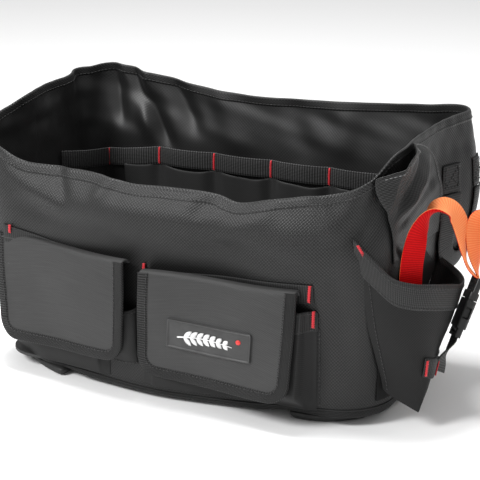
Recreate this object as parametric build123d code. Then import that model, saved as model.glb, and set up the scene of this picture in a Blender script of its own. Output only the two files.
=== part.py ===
from build123d import *
import os
from math import sqrt

# Soft open-top garden tool bag: four fabric walls over a stiffened base on corner feet, two flapped
# pockets and a slot pocket in front, an elastic band inside, and a tapered holster on the right end
# with a webbing strap and side-release buckle.
# +X runs to the right end, +Y to the back, +Z up. Lengths are in millimetres. The model is drawn
# about the middle of the bag's base and moved at the end, so that the origin is the middle of the
# bounding box on the floor.

# bag body
HALF_LENGTH = 210.0
HALF_LENGTH_TOP = 218.0
HALF_DEPTH = 107.0
CORNER_R = 42.0
WALL = 3.0
BASE_Z = 8.0
BASE_STRAIGHT = 12.0
RIM_Z = 270.0
LOFT_TOP_Z = RIM_Z + 10
ABOVE_Z = RIM_Z + 60
FRONT_CORNER_RIM_Z = 246.0
FRONT_SHOULDER_Z = 231.0
FRONT_DIP_Z = 208.0
FRONT_DIP_X = 70.0
END_SLOPE = (30.0, 70.0)
CUT_CLEAR = 20.0
BASE_PANEL = 3.0
BASE_BOARD = 3.0
BOARD_GAP = 3.0
PIPING = 3.0
PIPING_ROUND = 1.2

# feet and their rivets
FOOT_LENGTH = 88.0
FOOT_DEPTH = 70.0
FOOT_INSET = 2.0
FOOT_ROUND = 3.0
RIVET_R = 2.5
RIVET_HEAD_R = 5.0
RIVET_HEAD = 1.5
RIVET_IN_FOOT = 4.0
RIVET_INSETS = ((66.0, 20.0), (22.0, 52.0))

# webbing and fabric
WEB = 25.0
WEB_T = 1.8
BAND = 20.0
BAND_T = 1.5
FABRIC_T = 2.0
TACK_W = 3.0
TACK_T = 0.8
TACK_L = 16.0
TACK_INSET = 4.0
TACK_RISE = 2.0

# front pockets, measured at the wall; each pocket is POCKET_OUT deep and narrows by GUSSET a side
POCKET_OUT = 18.0
INTO_BAG = 60.0
GUSSET = 12.0
POCKET_BOTTOM_Z = 22.0
POCKET_TOP_Z = 115.0
POCKET_RIGHT = (-27.0, 150.0)
POCKET_LEFT = (-206.0, -69.0)
SLOT_X = -48.0
SLOT_HALF = 17.0
SLOT_OUT = 13.0
SLOT_TOP_Z = 91.0
SLOT_T = 1.5

# flaps: a header strip hinged at the wall, and a panel folded down from its front edge
FLAP_RIGHT = (-30.0, 141.0)
FLAP_LEFT = (-196.0, -44.0)
FOLD_Z = 138.0
FLAP_T = 2.4
FLAP_DROP = 111.0
FLAP_TOP_GAP = 0.5
FLAP_R = 20.0
FLAP_BINDING = 11.0
BINDING_T = 1.0
HEADER_T = 2.0
HINGE_GAP = 2.0
HEADER_Y = -HALF_DEPTH - WEB_T - 1.8
FOLD_Y = -HALF_DEPTH - POCKET_OUT - 4.8
HOOK_T = 1.2
HOOK_SIZE = (60.0, 22.0)
HOOK_Z = 38.0
BADGE_X = (11.0, 100.0)
BADGE_Z = (62.0, 91.0)
BADGE_T = 2.2
BADGE_FRAME = 2.5
BADGE_STEP = 0.8
BADGE_ROUND = 2.0

# bands behind the flaps
FRONT_BAND_Z = 120.0
FRONT_BANDS = ((-30.0, 150.0), (-187.0, -64.0))

# inner elastic band: tacked at even steps, standing LOOP_GAP off the walls between the tacks
INNER_BAND_Z = 176.0
LOOP_GAP = 5.5
TACK_PITCH = 67.0
TACK_MIDDLE = 7.0
SIDE_TACK_Y = 52.0
RETURN_Y = 0.0
PANEL_Z = (62.0, 174.0)

# holster: a leaning cone with elliptical sections, low end first: z, centre x and y, half-widths
HOLSTER_LOW = (12.0, 234.0, -80.0, 9.0, 14.0)
HOLSTER_HIGH = (190.0, 216.0, 0.0, 55.0, 102.0)
HOLSTER_T = 2.5
HOLSTER_TIP = 7.5
CUT_BOX = 600.0
MOUTH_AT = (215.0, 0.0, 145.0)
MOUTH_SLOPE = (-0.4407, -0.2849)

# side-release buckle on the holster's outer face
BUCKLE_LOW = (261.0, -26.0, 87.0)
BUCKLE_HIGH = (273.0, -6.0, 134.0)
BUCKLE_FACES = (-0.39, 0.92, 0.0)
BUCKLE_HALF_W = 16.5
BUCKLE_HALF_T = 5.0
BUCKLE_ROUND = 3.0
RUN = 0.35

# the buckle's own heights, along its axis from the foot of the socket half
SLEEVE_Z = (2.0, 30.0)
SLEEVE_FLOOR = 8.0
SLEEVE_SIDE = 3.0
SLEEVE_FACE = 2.0
WINDOW_Z = (12.0, 23.0)
WEB_BAR_Z = (-7.0, 2.0)
WEB_SLOT_Z = (-3.5, 0.5)
BAR_HALF_T = 3.0
BAR_ROUND = 2.0
BAR_SIDE = 3.5
SHOULDER_Z = (30.6, 38.0)
SHOULDER_HALF_T = 4.7
MALE_TOP = 52.0
LADDER_SLOTS = (39.5, 46.0)
LADDER_SLOT = 3.5
TONGUE_HALF_W = 2.5
TONGUE_LOW = 11.0
PRONG_X = 8.3
PRONG_HALF_W = 1.5
PRONG_Z = (14.0, 33.6)
PAD_X = 6.8
PAD_Z = (13.0, 22.0)
NOTCH_HALF_W = 2.4
NOTCH_TOP = 34.0

# hanging end handles
HANDLE_Y = (34.0, 102.0)
HANDLE_Z = (129.0, 196.0)
HANDLE_R = 26.0
HANDLE_INNER_R = 8.0
HANDLE_BEND = 16.0
HANDLE_OFF = 2.2
HANDLE_PATCH = 25.0
HANDLE_GAP = 4.5
PATCH_REACH = 30.0


def block(x0, x1, y0, y1, z0, z1):
    """A box between two corners."""
    middle = Pos((x0 + x1) / 2, (y0 + y1) / 2, (z0 + z1) / 2)
    return middle * Box(abs(x1 - x0), abs(y1 - y0), abs(z1 - z0))


def outline(grow, z, half_length=HALF_LENGTH):
    """The bag's plan, offset outwards by grow, as a face at height z."""
    plan = RectangleRounded(2 * (half_length + grow), 2 * (HALF_DEPTH + grow), CORNER_R + grow)
    return Pos(0, 0, z) * plan


def half_length_at(z):
    """The bag's half-length at height z, above its straight skirt."""
    share = (z - BASE_Z - BASE_STRAIGHT) / (LOFT_TOP_Z - BASE_Z - BASE_STRAIGHT)
    return HALF_LENGTH + (HALF_LENGTH_TOP - HALF_LENGTH) * share


def bag_solid(grow):
    """The filled bag: straight sided for the first few millimetres, then opening towards the top."""
    skirt = extrude(outline(grow, BASE_Z), BASE_STRAIGHT)
    low = outline(grow, BASE_Z + BASE_STRAIGHT)
    high = outline(grow, LOFT_TOP_Z, HALF_LENGTH_TOP)
    return skirt + loft([low, high], ruled=True)


def prism_x(points, x0, x1):
    """A polygon of (y, z) points, run from x0 to x1."""
    face = make_face(Polyline(*[(x0, y, z) for y, z in points], close=True))
    return extrude(face, amount=x1 - x0, dir=(1, 0, 0))


def prism_y(points, y0, y1):
    """A polygon of (x, z) points, run from y0 to y1."""
    face = make_face(Polyline(*[(x, y0, z) for x, z in points], close=True))
    return extrude(face, amount=y1 - y0, dir=(0, 1, 0))


def prism_z(points, z0, z1):
    """A polygon of (x, y) points, run from z0 to z1."""
    face = make_face(Polyline(*[(x, y, z0) for x, y in points], close=True))
    return extrude(face, amount=z1 - z0, dir=(0, 0, 1))


def rim_trim():
    """What is cut off above the rim: the ends slope down to the front corners, the front dips."""
    far = 2 * HALF_LENGTH_TOP
    y = HALF_DEPTH + CUT_CLEAR
    slope = [
        (-y, FRONT_CORNER_RIM_Z), (END_SLOPE[0] - HALF_DEPTH, FRONT_CORNER_RIM_Z),
        (END_SLOPE[1] - HALF_DEPTH, RIM_Z), (y, RIM_Z), (y, ABOVE_Z), (-y, ABOVE_Z),
    ]
    edge = HALF_LENGTH - CORNER_R
    dip = [(-edge, FRONT_SHOULDER_Z), (FRONT_DIP_X, FRONT_DIP_Z), (edge, FRONT_SHOULDER_Z)]
    front = prism_y(dip + [(edge, ABOVE_Z), (-edge, ABOVE_Z)], -y, CUT_CLEAR - HALF_DEPTH)
    return prism_x(slope, -far, far) + front


def wall_parts():
    """The shell split on its corner mitres into front, back, left and right."""
    shell = bag_solid(0) - bag_solid(-WALL) - rim_trim()
    x = HALF_LENGTH_TOP + CUT_CLEAR
    y = HALF_DEPTH + CUT_CLEAR + HALF_LENGTH_TOP - HALF_LENGTH
    inner = x - y
    corners = {
        "front_wall": [(-x, -y), (x, -y), (inner, 0), (-inner, 0)],
        "back_wall": [(-x, y), (-inner, 0), (inner, 0), (x, y)],
        "left_wall": [(-x, -y), (-inner, 0), (-x, y)],
        "right_wall": [(x, -y), (x, y), (inner, 0)],
    }
    return {name: shell & prism_z(points, 0, RIM_Z + CUT_CLEAR) for name, points in corners.items()}


def rivet_places():
    """Two rivets in each foot."""
    return [
        (sx * (HALF_LENGTH - in_x), sy * (HALF_DEPTH - in_y))
        for sx in (-1, 1) for sy in (-1, 1) for in_x, in_y in RIVET_INSETS
    ]


def drilled(solid, z0, z1):
    """A solid with the rivet holes drilled through it from z0 to z1."""
    for x, y in rivet_places():
        solid -= Pos(x, y, (z0 + z1) / 2) * Cylinder(RIVET_R, z1 - z0 + 2)
    return solid


def base_panel():
    """The fabric floor, sewn inside the walls."""
    return drilled(extrude(outline(-WALL, BASE_Z), BASE_PANEL), BASE_Z, BASE_Z + BASE_PANEL)


def base_board():
    """The stiffener that lies on the floor."""
    z = BASE_Z + BASE_PANEL
    return drilled(extrude(outline(-WALL - BOARD_GAP, z), BASE_BOARD), z, z + BASE_BOARD)


def base_piping():
    """A bead sewn round the outside of the base seam."""
    bead = extrude(outline(PIPING, BASE_Z), 2 * PIPING)
    bead = fillet(bead.edges().group_by(Axis.Z)[-1] + bead.edges().group_by(Axis.Z)[0], PIPING_ROUND)
    return bead - extrude(outline(0, BASE_Z - 1), 2 * PIPING + 2)


def foot(sx, sy):
    """A moulded pad under one corner of the base, following its round."""
    pad = extrude(outline(-FOOT_INSET, 0), BASE_Z)
    x, y = HALF_LENGTH, HALF_DEPTH
    corner = block(sx * (x - FOOT_LENGTH), sx * x, sy * (y - FOOT_DEPTH), sy * y, -1, BASE_Z + 1)
    pad = pad & corner
    pad = fillet(pad.edges().group_by(Axis.Z)[0], FOOT_ROUND)
    for px, py in rivet_places():
        pad -= Pos(px, py, BASE_Z) * Cylinder(RIVET_R, 2 * RIVET_IN_FOOT)
    return pad


def foot_rivets():
    """Blind rivets from each foot up through the panel and the board."""
    top = BASE_Z + BASE_PANEL + BASE_BOARD
    low = BASE_Z - RIVET_IN_FOOT
    rivets = []
    for x, y in rivet_places():
        shank = Pos(x, y, (low + top) / 2) * Cylinder(RIVET_R, top - low)
        head = Pos(x, y, top + RIVET_HEAD / 2) * Cylinder(RIVET_HEAD_R, RIVET_HEAD)
        rivets.append(shank + head)
    return Compound(rivets)


def pocket(ends, outside):
    """A bellows pocket: front panel, slanting gussets and a bottom, open at the top and at the wall."""
    x0, x1 = ends
    y0, y1 = -HALF_DEPTH, -HALF_DEPTH - POCKET_OUT
    t = FABRIC_T
    y2 = y0 + INTO_BAG
    outer = [(x0, y2), (x0, y0), (x0 + GUSSET, y1), (x1 - GUSSET, y1), (x1, y0), (x1, y2)]
    inner = [
        (x0 + t, y2 + 1), (x0 + t, y0), (x0 + GUSSET + t, y1 + t),
        (x1 - GUSSET - t, y1 + t), (x1 - t, y0), (x1 - t, y2 + 1),
    ]
    shape = prism_z(outer, POCKET_BOTTOM_Z, POCKET_TOP_Z)
    shape -= prism_z(inner, POCKET_BOTTOM_Z + t, POCKET_TOP_Z + 1)
    return (shape - outside).solids().sort_by(Axis.Y)[0]


def pocket_mouth_band(ends, outside):
    """The webbing sewn round the top edge of a pocket, outside its front panel and gussets."""
    x0, x1 = ends
    y0, y1 = -HALF_DEPTH, -HALF_DEPTH - POCKET_OUT
    t = BAND_T

    def plan(grow):
        return [
            (x0 - grow, y0 + INTO_BAG), (x0 - grow, y0), (x0 + GUSSET - grow, y1 - grow),
            (x1 - GUSSET + grow, y1 - grow), (x1 + grow, y0), (x1 + grow, y0 + INTO_BAG),
        ]

    band = prism_z(plan(t), POCKET_TOP_Z - BAND, POCKET_TOP_Z)
    band -= prism_z(plan(0), POCKET_TOP_Z - BAND - 1, POCKET_TOP_Z + 1)
    return (band - outside).solids().sort_by(Axis.Y)[0]


def slot_pocket(outside):
    """A narrow tube pocket between the two flaps."""
    centre = Pos(SLOT_X, -HALF_DEPTH)
    height = SLOT_TOP_Z - POCKET_BOTTOM_Z
    outer = extrude(centre * Ellipse(SLOT_HALF, SLOT_OUT), height)
    inner = extrude(centre * Ellipse(SLOT_HALF - SLOT_T, SLOT_OUT - SLOT_T), height)
    tube = Pos(0, 0, POCKET_BOTTOM_Z) * outer - Pos(0, 0, POCKET_BOTTOM_Z + SLOT_T) * inner
    return (tube - outside).solids().sort_by(Axis.Y)[0]


def front_band(ends):
    """A row of webbing sewn flat on the wall above a pocket."""
    return block(*ends, -HALF_DEPTH - WEB_T, -HALF_DEPTH, FRONT_BAND_Z, FRONT_BAND_Z + BAND)


def flap_header(ends):
    """The strip from the wall out to the fold."""
    z = HEADER_T / 2
    return block(*ends, FOLD_Y + HINGE_GAP, HEADER_Y, FOLD_Z - z, FOLD_Z + z)


def round_sheet(x0, x1, z0, z1, y0, y1, radius):
    """A flat sheet between two Y planes with its two lower corners rounded."""
    sheet = block(x0, x1, y0, y1, z0, z1)
    return fillet(sheet.edges().filter_by(Axis.Y).group_by(Axis.Z)[0], radius)


def flap(ends):
    """A flap's panel, hanging from the fold."""
    y = FLAP_T / 2
    return round_sheet(*ends, FOLD_Z - FLAP_DROP, FOLD_Z - FLAP_TOP_GAP, FOLD_Y - y, FOLD_Y + y, FLAP_R)


def flap_binding(ends):
    """Grosgrain tape down both sides and along the bottom of a flap, on its outer face."""
    x0, x1 = ends
    y = FOLD_Y - FLAP_T / 2
    z0, b = FOLD_Z - FLAP_DROP, FLAP_BINDING
    tape = round_sheet(x0, x1, z0, FOLD_Z - FLAP_TOP_GAP, y - BINDING_T, y, FLAP_R)
    gap = round_sheet(x0 + b, x1 - b, z0 + b, FOLD_Z + 1, y - BINDING_T - 1, y + 1, FLAP_R - b)
    return tape - gap


def badge():
    """A rubber patch with a raised frame round a plain pane."""
    y = FOLD_Y - FLAP_T / 2
    patch = block(*BADGE_X, y - BADGE_T, y, *BADGE_Z)
    patch = fillet(patch.edges().filter_by(Axis.Y), BADGE_ROUND)
    f = BADGE_FRAME
    pane = block(BADGE_X[0] + f, BADGE_X[1] - f, y - BADGE_T - 1, y - BADGE_T + BADGE_STEP,
                 BADGE_Z[0] + f, BADGE_Z[1] - f)
    return patch - pane


def touch_tape(ends, y0, y1):
    """Hook or loop tape behind the lower middle of a flap."""
    x = sum(ends) / 2
    half = HOOK_SIZE[0] / 2
    return block(x - half, x + half, y0, y1, HOOK_Z, HOOK_Z + HOOK_SIZE[1])


def inner_band():
    """Elastic round the inside of the back and halfway along both ends, standing off the wall."""
    def ring(inset):
        return extrude(outline(-WALL - inset, INNER_BAND_Z, half_length_at(INNER_BAND_Z)), BAND)

    strip = ring(LOOP_GAP) - ring(LOOP_GAP + BAND_T)
    far = HALF_LENGTH_TOP + CUT_CLEAR
    return strip & block(-far, far, RETURN_Y, HALF_DEPTH, INNER_BAND_Z - 1, INNER_BAND_Z + BAND + 1)


def bartacks_inner():
    """The stitched stand-offs that hold the elastic to the back and end walls."""
    low, high, half = INNER_BAND_Z, INNER_BAND_Z + BAND, TACK_W / 2
    y = HALF_DEPTH - WALL
    x = half_length_at(INNER_BAND_Z) - WALL
    tacks = []
    for k in range(-2, 3):
        at = TACK_MIDDLE + TACK_PITCH * k
        tacks.append(block(at - half, at + half, y - LOOP_GAP, y, low, high))
    for sign in (-1, 1):
        for at in (RETURN_Y + half, SIDE_TACK_Y):
            tacks.append(block(sign * (x - LOOP_GAP), sign * x, at - half, at + half, low, high))
    return Compound(tacks)


def inner_pocket_panel():
    """The low pocket cloth sewn to the inside of the back wall, under the elastic."""
    y = HALF_DEPTH - WALL
    x = HALF_LENGTH - CORNER_R
    return block(-x, x, y - BAND_T, y, *PANEL_Z)


def bartacks_front():
    """Bar tacks at the ends of the front bands."""
    tacks = []
    for x0, x1 in FRONT_BANDS:
        for x in (x0 + TACK_INSET, x1 - TACK_INSET):
            y = -HALF_DEPTH - WEB_T
            low = FRONT_BAND_Z + TACK_RISE
            tacks.append(block(x - TACK_W / 2, x + TACK_W / 2, y - TACK_T, y, low, low + TACK_L))
    return Compound(tacks)


def holster_section(level, grow):
    """One elliptical section of the holster, offset outwards by grow."""
    z, x, y, half_x, half_y = level
    return Pos(x, y, z) * Ellipse(half_x + grow, half_y + grow)


def holster_cone(grow):
    """The holster's filled cone, offset outwards by grow."""
    return loft([holster_section(HOLSTER_LOW, grow), holster_section(HOLSTER_HIGH, grow)], ruled=True)


def mouth_plane():
    """The slanting plane through the holster's rim."""
    return Plane(origin=MOUTH_AT, z_dir=(-MOUTH_SLOPE[0], -MOUTH_SLOPE[1], 1))


def holster_panel(outside):
    """The holster's fabric: the cone outside the bag, hollow down to a closed tip."""
    hollow = Pos(0, 0, HOLSTER_TIP) * holster_cone(-HOLSTER_T)
    above = mouth_plane() * (Pos(0, 0, CUT_BOX / 2) * Box(CUT_BOX, CUT_BOX, CUT_BOX))
    shape = (holster_cone(0) - above - hollow - outside).solids()
    return shape.sort_by(SortBy.VOLUME)[-1]


def unit(v):
    length = sqrt(sum(c * c for c in v))
    return tuple(c / length for c in v)


def ribbon(stations, width, thickness):
    """A strap through stations of (centre, across): flat pieces joined end to end, turning as they go."""
    centres = [Vector(*c) for c, _ in stations]
    faces = []
    for k, (_, across) in enumerate(stations):
        ahead = centres[min(k + 1, len(centres) - 1)] - centres[max(k - 1, 0)]
        across = Vector(*across)
        across = across - ahead.normalized() * across.dot(ahead.normalized())
        plane = Plane(origin=centres[k], x_dir=across, z_dir=ahead)
        faces.append(plane * Rectangle(width, thickness))
    return loft(faces, ruled=True)


BUCKLE_AXIS = unit([b - a for a, b in zip(BUCKLE_LOW, BUCKLE_HIGH)])
BUCKLE_PLANE = Plane(
    origin=BUCKLE_LOW,
    x_dir=Vector(*BUCKLE_FACES) - Vector(*BUCKLE_AXIS) * Vector(*BUCKLE_FACES).dot(Vector(*BUCKLE_AXIS)),
    z_dir=BUCKLE_AXIS,
)


def centred(half_x, half_y, z0, z1, x=0.0):
    """A box about the buckle's middle plane, between two of its heights."""
    return block(x - half_x, x + half_x, -half_y, half_y, z0, z1)


def buckle_female():
    """The socket half: a flat sleeve with side windows and a webbing bar at its lower end."""
    w, t = BUCKLE_HALF_W, BUCKLE_HALF_T
    sleeve = centred(w, t, *SLEEVE_Z)
    sleeve = fillet(sleeve.edges().filter_by(Axis.Z), BUCKLE_ROUND)
    sleeve -= centred(w - SLEEVE_SIDE, t - SLEEVE_FACE, SLEEVE_FLOOR, SLEEVE_Z[1] + 1)
    sleeve -= centred(w + 1, t - SLEEVE_FACE, *WINDOW_Z)
    bar = fillet(centred(w, BAR_HALF_T, *WEB_BAR_Z).edges().filter_by(Axis.Z), BAR_ROUND)
    return sleeve + (bar - centred(w - BAR_SIDE, BAR_HALF_T + 1, *WEB_SLOT_Z))


def buckle_male():
    """The plug half: a guide tongue, a shoulder and a ladder of two bars for the strap."""
    w, low, high = BUCKLE_HALF_W, *SHOULDER_Z
    inside = BUCKLE_HALF_T - SLEEVE_FACE
    shoulder = centred(w, SHOULDER_HALF_T, low, high)
    shoulder = fillet(shoulder.edges().filter_by(Axis.Z), BUCKLE_ROUND)
    ladder = fillet(centred(w, BAR_HALF_T, high, MALE_TOP).edges().filter_by(Axis.Z), BAR_ROUND)
    for z in LADDER_SLOTS:
        ladder -= centred(w - BAR_SIDE, BAR_HALF_T + 1, z, z + LADDER_SLOT)
    body = shoulder + ladder + centred(TONGUE_HALF_W, inside - RUN, TONGUE_LOW, low)
    for side in (-1, 1):
        body -= centred(NOTCH_HALF_W, inside, low - 1, NOTCH_TOP, side * PRONG_X)
    return body


def buckle_prong(side):
    """A springy arm beside the tongue, with a thumb pad that shows in the window."""
    t = BUCKLE_HALF_T - SLEEVE_FACE - RUN
    arm = centred(PRONG_HALF_W, t, *PRONG_Z, side * PRONG_X)
    far = BUCKLE_HALF_W - SLEEVE_SIDE - RUN
    return arm + block(side * PAD_X, side * far, -t, t, *PAD_Z)


def handle(side):
    """A U of webbing that hangs from its two sewn ends."""
    y0, y1 = HANDLE_Y
    z0, z1 = HANDLE_Z
    x = HALF_LENGTH_TOP + HANDLE_OFF
    loop = block(x, x + WEB_T, y0, y1, z0, z1)
    loop = fillet(loop.edges().filter_by(Axis.X).group_by(Axis.Z)[0], HANDLE_R)
    gap = block(x - 1, x + WEB_T + 1, y0 + WEB, y1 - WEB, z0 + HANDLE_BEND, z1 + 1)
    gap = fillet(gap.edges().filter_by(Axis.X).group_by(Axis.Z)[0], HANDLE_INNER_R)
    u = loop - gap
    return u if side > 0 else mirror(u, Plane.YZ)


def handle_anchors(side, outside):
    """The two stitched patches that a handle hangs from."""
    x = HALF_LENGTH_TOP
    z = HANDLE_Z[1] + HANDLE_GAP
    patches = []
    for y in (HANDLE_Y[0], HANDLE_Y[1] - WEB):
        patch = block(x - PATCH_REACH, x + HANDLE_OFF + WEB_T, y, y + WEB, z, z + HANDLE_PATCH) - outside
        patches.append(patch.solids().sort_by(Axis.X)[-1])
    both = Compound(patches)
    return both if side > 0 else mirror(both, Plane.YZ)


# the strap's and its tail's stations: centre, and the direction across the webbing
STRAP = [
    ((231, -66, 105), (1, 0, 0)),
    ((231, -68, 150), (1, 0, 0)),
    ((232, -62, 190), (1, 0.05, 0)),
    ((236, -50, 211), (0.98, 0.2, 0)),
    ((244, -34, 218), (0.95, 0.3, 0)),
    ((254, -18, 212), (0.93, 0.37, 0)),
    ((262, -9, 196), (0.92, 0.38, 0)),
    ((268, -7, 168), (0.6, 0.8, 0)),
]
TAIL = [
    ((287, 2, 92), (-0.39, 0.92, 0)),
    ((288, 0, 118), (-0.39, 0.92, 0)),
    ((285, -3, 136), (-0.39, 0.92, 0)),
]
TAB_AT = (252.5, -68.0, 62.0)
TAB_ACROSS = (0.1, 1, 0)

# where webbing meets the buckle: height along its axis, and how far out from its middle plane
STRAP_END = (55.5, 0.0)
TAIL_END = (48.0, -5.0)
WEB_TURN = (-22.0, -1.0)
WEB_END = (-8.0, 0.0)


def on_buckle(z, y):
    """A point on the buckle's middle line, y out from it, at height z along its axis."""
    return tuple(BUCKLE_PLANE.from_local_coords(Vector(0, y, z)))


def main():
    outside = bag_solid(0)
    cone = holster_cone(0)
    across = tuple(BUCKLE_PLANE.x_dir)
    nodes = dict(wall_parts())
    nodes["base_panel"] = base_panel()
    nodes["base_board"] = base_board()
    nodes["base_piping"] = base_piping()
    for name, sx, sy in (("front_left", -1, -1), ("front_right", 1, -1),
                         ("back_left", -1, 1), ("back_right", 1, 1)):
        nodes["foot_" + name] = foot(sx, sy)
    nodes["foot_rivets"] = foot_rivets()
    front = -HALF_DEPTH - POCKET_OUT
    back = FOLD_Y + FLAP_T / 2
    for side, ends, flap_ends, band in (
        ("right", POCKET_RIGHT, FLAP_RIGHT, FRONT_BANDS[0]),
        ("left", POCKET_LEFT, FLAP_LEFT, FRONT_BANDS[1]),
    ):
        nodes["pocket_" + side] = pocket(ends, outside)
        nodes["pocket_mouth_band_" + side] = pocket_mouth_band(ends, outside)
        nodes["front_band_" + side] = front_band(band)
        nodes["flap_header_" + side] = flap_header(flap_ends)
        nodes["flap_" + side] = flap(flap_ends)
        nodes["flap_binding_" + side] = flap_binding(flap_ends)
        nodes["pocket_loop_" + side] = touch_tape(flap_ends, front - HOOK_T, front)
        nodes["flap_hook_" + side] = touch_tape(flap_ends, back, back + HOOK_T)
    nodes["badge"] = badge()
    nodes["slot_pocket"] = slot_pocket(outside)
    nodes["bartacks_front"] = bartacks_front()
    nodes["inner_band"] = inner_band()
    nodes["inner_pocket_panel"] = inner_pocket_panel()
    nodes["bartacks_inner"] = bartacks_inner()
    nodes["holster_panel"] = holster_panel(outside)
    nodes["buckle_female"] = BUCKLE_PLANE * buckle_female()
    nodes["buckle_male"] = BUCKLE_PLANE * buckle_male()
    nodes["buckle_prong_front"] = BUCKLE_PLANE * buckle_prong(-1)
    nodes["buckle_prong_back"] = BUCKLE_PLANE * buckle_prong(1)
    nodes["strap_loop"] = ribbon(STRAP + [(on_buckle(*STRAP_END), across)], WEB, WEB_T)
    nodes["strap_tail"] = ribbon(TAIL + [(on_buckle(*TAIL_END), across)], WEB, WEB_T)
    to_tab = [(TAB_AT, TAB_ACROSS), (on_buckle(*WEB_TURN), across), (on_buckle(*WEB_END), across)]
    web = ribbon(to_tab, WEB, WEB_T)
    nodes["buckle_web"] = (web - cone).solids().sort_by(SortBy.VOLUME)[-1]
    for side, sign in (("right", 1), ("left", -1)):
        nodes["handle_" + side] = handle(sign)
        nodes["handle_anchors_" + side] = handle_anchors(sign, outside)

    box = Compound(list(nodes.values())).bounding_box()
    to_frame = Pos(-(box.min.X + box.max.X) / 2, -(box.min.Y + box.max.Y) / 2, -box.min.Z)
    os.makedirs("parts", exist_ok=True)
    for name, shape in nodes.items():
        export_step(to_frame * shape, f"parts/{name}.step")
    print("moved by", to_frame.position, "size", box.size)


main()
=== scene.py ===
import bpy
import numpy as np
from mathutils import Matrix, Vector


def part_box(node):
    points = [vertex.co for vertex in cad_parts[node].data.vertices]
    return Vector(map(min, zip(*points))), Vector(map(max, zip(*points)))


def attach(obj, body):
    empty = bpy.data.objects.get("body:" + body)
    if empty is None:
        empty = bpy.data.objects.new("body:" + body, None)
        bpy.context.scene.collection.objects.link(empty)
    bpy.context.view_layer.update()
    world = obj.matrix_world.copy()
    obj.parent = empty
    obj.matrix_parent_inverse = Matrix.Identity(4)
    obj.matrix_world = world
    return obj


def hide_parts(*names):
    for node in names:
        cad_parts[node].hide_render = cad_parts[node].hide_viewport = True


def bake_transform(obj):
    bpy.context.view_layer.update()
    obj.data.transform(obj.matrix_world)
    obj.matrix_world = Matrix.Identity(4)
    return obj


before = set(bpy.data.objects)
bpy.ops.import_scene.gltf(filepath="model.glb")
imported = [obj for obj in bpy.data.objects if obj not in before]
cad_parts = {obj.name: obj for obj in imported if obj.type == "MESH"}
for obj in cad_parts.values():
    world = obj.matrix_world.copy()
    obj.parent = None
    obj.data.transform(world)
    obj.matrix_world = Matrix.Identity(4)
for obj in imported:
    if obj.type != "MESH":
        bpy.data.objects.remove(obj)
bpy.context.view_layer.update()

# The looks of the garden tool bag. Shapes are worked out in millimetres about the middle of the bag's
# base, with +X to the right end, +Y to the back and +Z up, and placed in the frame's metres by place().
# The bag's sizes come first, then helpers, materials, the bag's surface and its pieces. Material colours
# are linear, and every cloth piece carries its own two distances for the weave in an attribute, "cloth".

BASE_LOW, BASE_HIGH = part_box("base_panel")
CENTRE = (BASE_LOW + BASE_HIGH) / 2
MM = 0.001

# the bag's body
HALF_LENGTH, HALF_LENGTH_TOP, HALF_DEPTH = 210.0, 218.0, 107.0
TOP_Z = 270.0
SKIN = 1.6
WALL_ROWS = 54
LONG_SIDES = ("front", "back")
# corner radii low down and near the rim
CORNERS = {
    "front_left": (70.0, 40.0), "front_right": (50.0, 36.0),
    "back_right": (42.0, 26.0), "back_left": (42.0, 28.0),
}
# each side: where it starts and ends, which way it runs and which way it faces
SIDES = {
    "front": ("front_left", "front_right", (1, 0), (0, -1)),
    "right": ("front_right", "back_right", (0, 1), (1, 0)),
    "back": ("back_right", "back_left", (-1, 0), (0, 1)),
    "left": ("back_left", "front_left", (0, -1), (-1, 0)),
}
# the way round the bag: side, where on it to start and stop, and columns
WAY_ROUND = (
    ("left", 0.5, 1, 28), ("front", 0, 1, 96), ("right", 0, 1, 56), ("back", 0, 1, 96), ("left", 0, 0.5, 28),
)
# heights of the rim, by x along the front and back and by y along the ends
RIMS = {
    "front": ((-206, 233), (-190, 228), (-165, 219), (-137, 217.5), (-83, 217), (-41, 212), (0, 213),
              (45, 212.5), (71, 208), (100, 214), (133, 221), (182, 233), (206, 246)),
    "right": ((-95, 246), (-82, 260), (-55, 266), (-20, 267), (50, 270), (95, 270)),
    "back": ((-206, 272), (-186, 275), (-167, 273), (-129, 267), (-81, 259), (-43, 256), (-20, 255),
             (37, 257), (82, 259), (130, 262), (192, 268), (206, 270)),
    "left": ((-95, 233), (-66, 246), (-42, 252), (-21, 260), (26, 266), (64, 269), (95, 272)),
}
BASE_SEAM = ((-206, 15), (-140, 13), (-60, 10), (0, 9), (80, 10), (150, 16), (206, 18))
# soft bulges and hollows of the walls: how far out, then the middle and width along the side and in height
BULGES = {
    "front": ((16, (-5, 165), (180, 58)), (5, (130, 45), (150, 55))),
    "right": ((21, (92, 45), (198, 58)), (-5, (-20, 40), (230, 50)), (6, (95, 40), (145, 38))),
}
# creases: two ends as (x, z), how far out, and half width
CREASES = {
    "front": (
        ((221, 250), (189, 186), -8, 12), ((208, 240), (172, 200), 3, 16), ((150, 232), (168, 190), 2.5, 9),
        ((-130, 222), (-112, 190), -3, 6), ((-62, 218), (-78, 196), 2.5, 6), ((62, 214), (30, 196), -2.5, 7),
        ((110, 208), (60, 176), 2.5, 10), ((-190, 214), (-120, 180), 3, 10),
        ((-160, 175), (-60, 158), -2.5, 10), ((20, 170), (130, 158), -2.5, 9),
        ((170, 150), (182, 60), -2.5, 9),
    ),
    "back": (
        ((-168, 276), (-118, 196), 7, 8), ((-150, 276), (-140, 205), -6, 9), ((-188, 276), (-176, 215), 5, 7),
        ((-120, 268), (-84, 214), 4.5, 9), ((-60, 256), (-30, 195), -3, 16), ((20, 256), (48, 192), 2, 16),
        ((96, 258), (82, 205), -2, 14), ((150, 264), (176, 208), 2.5, 14),
    ),
}
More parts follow.
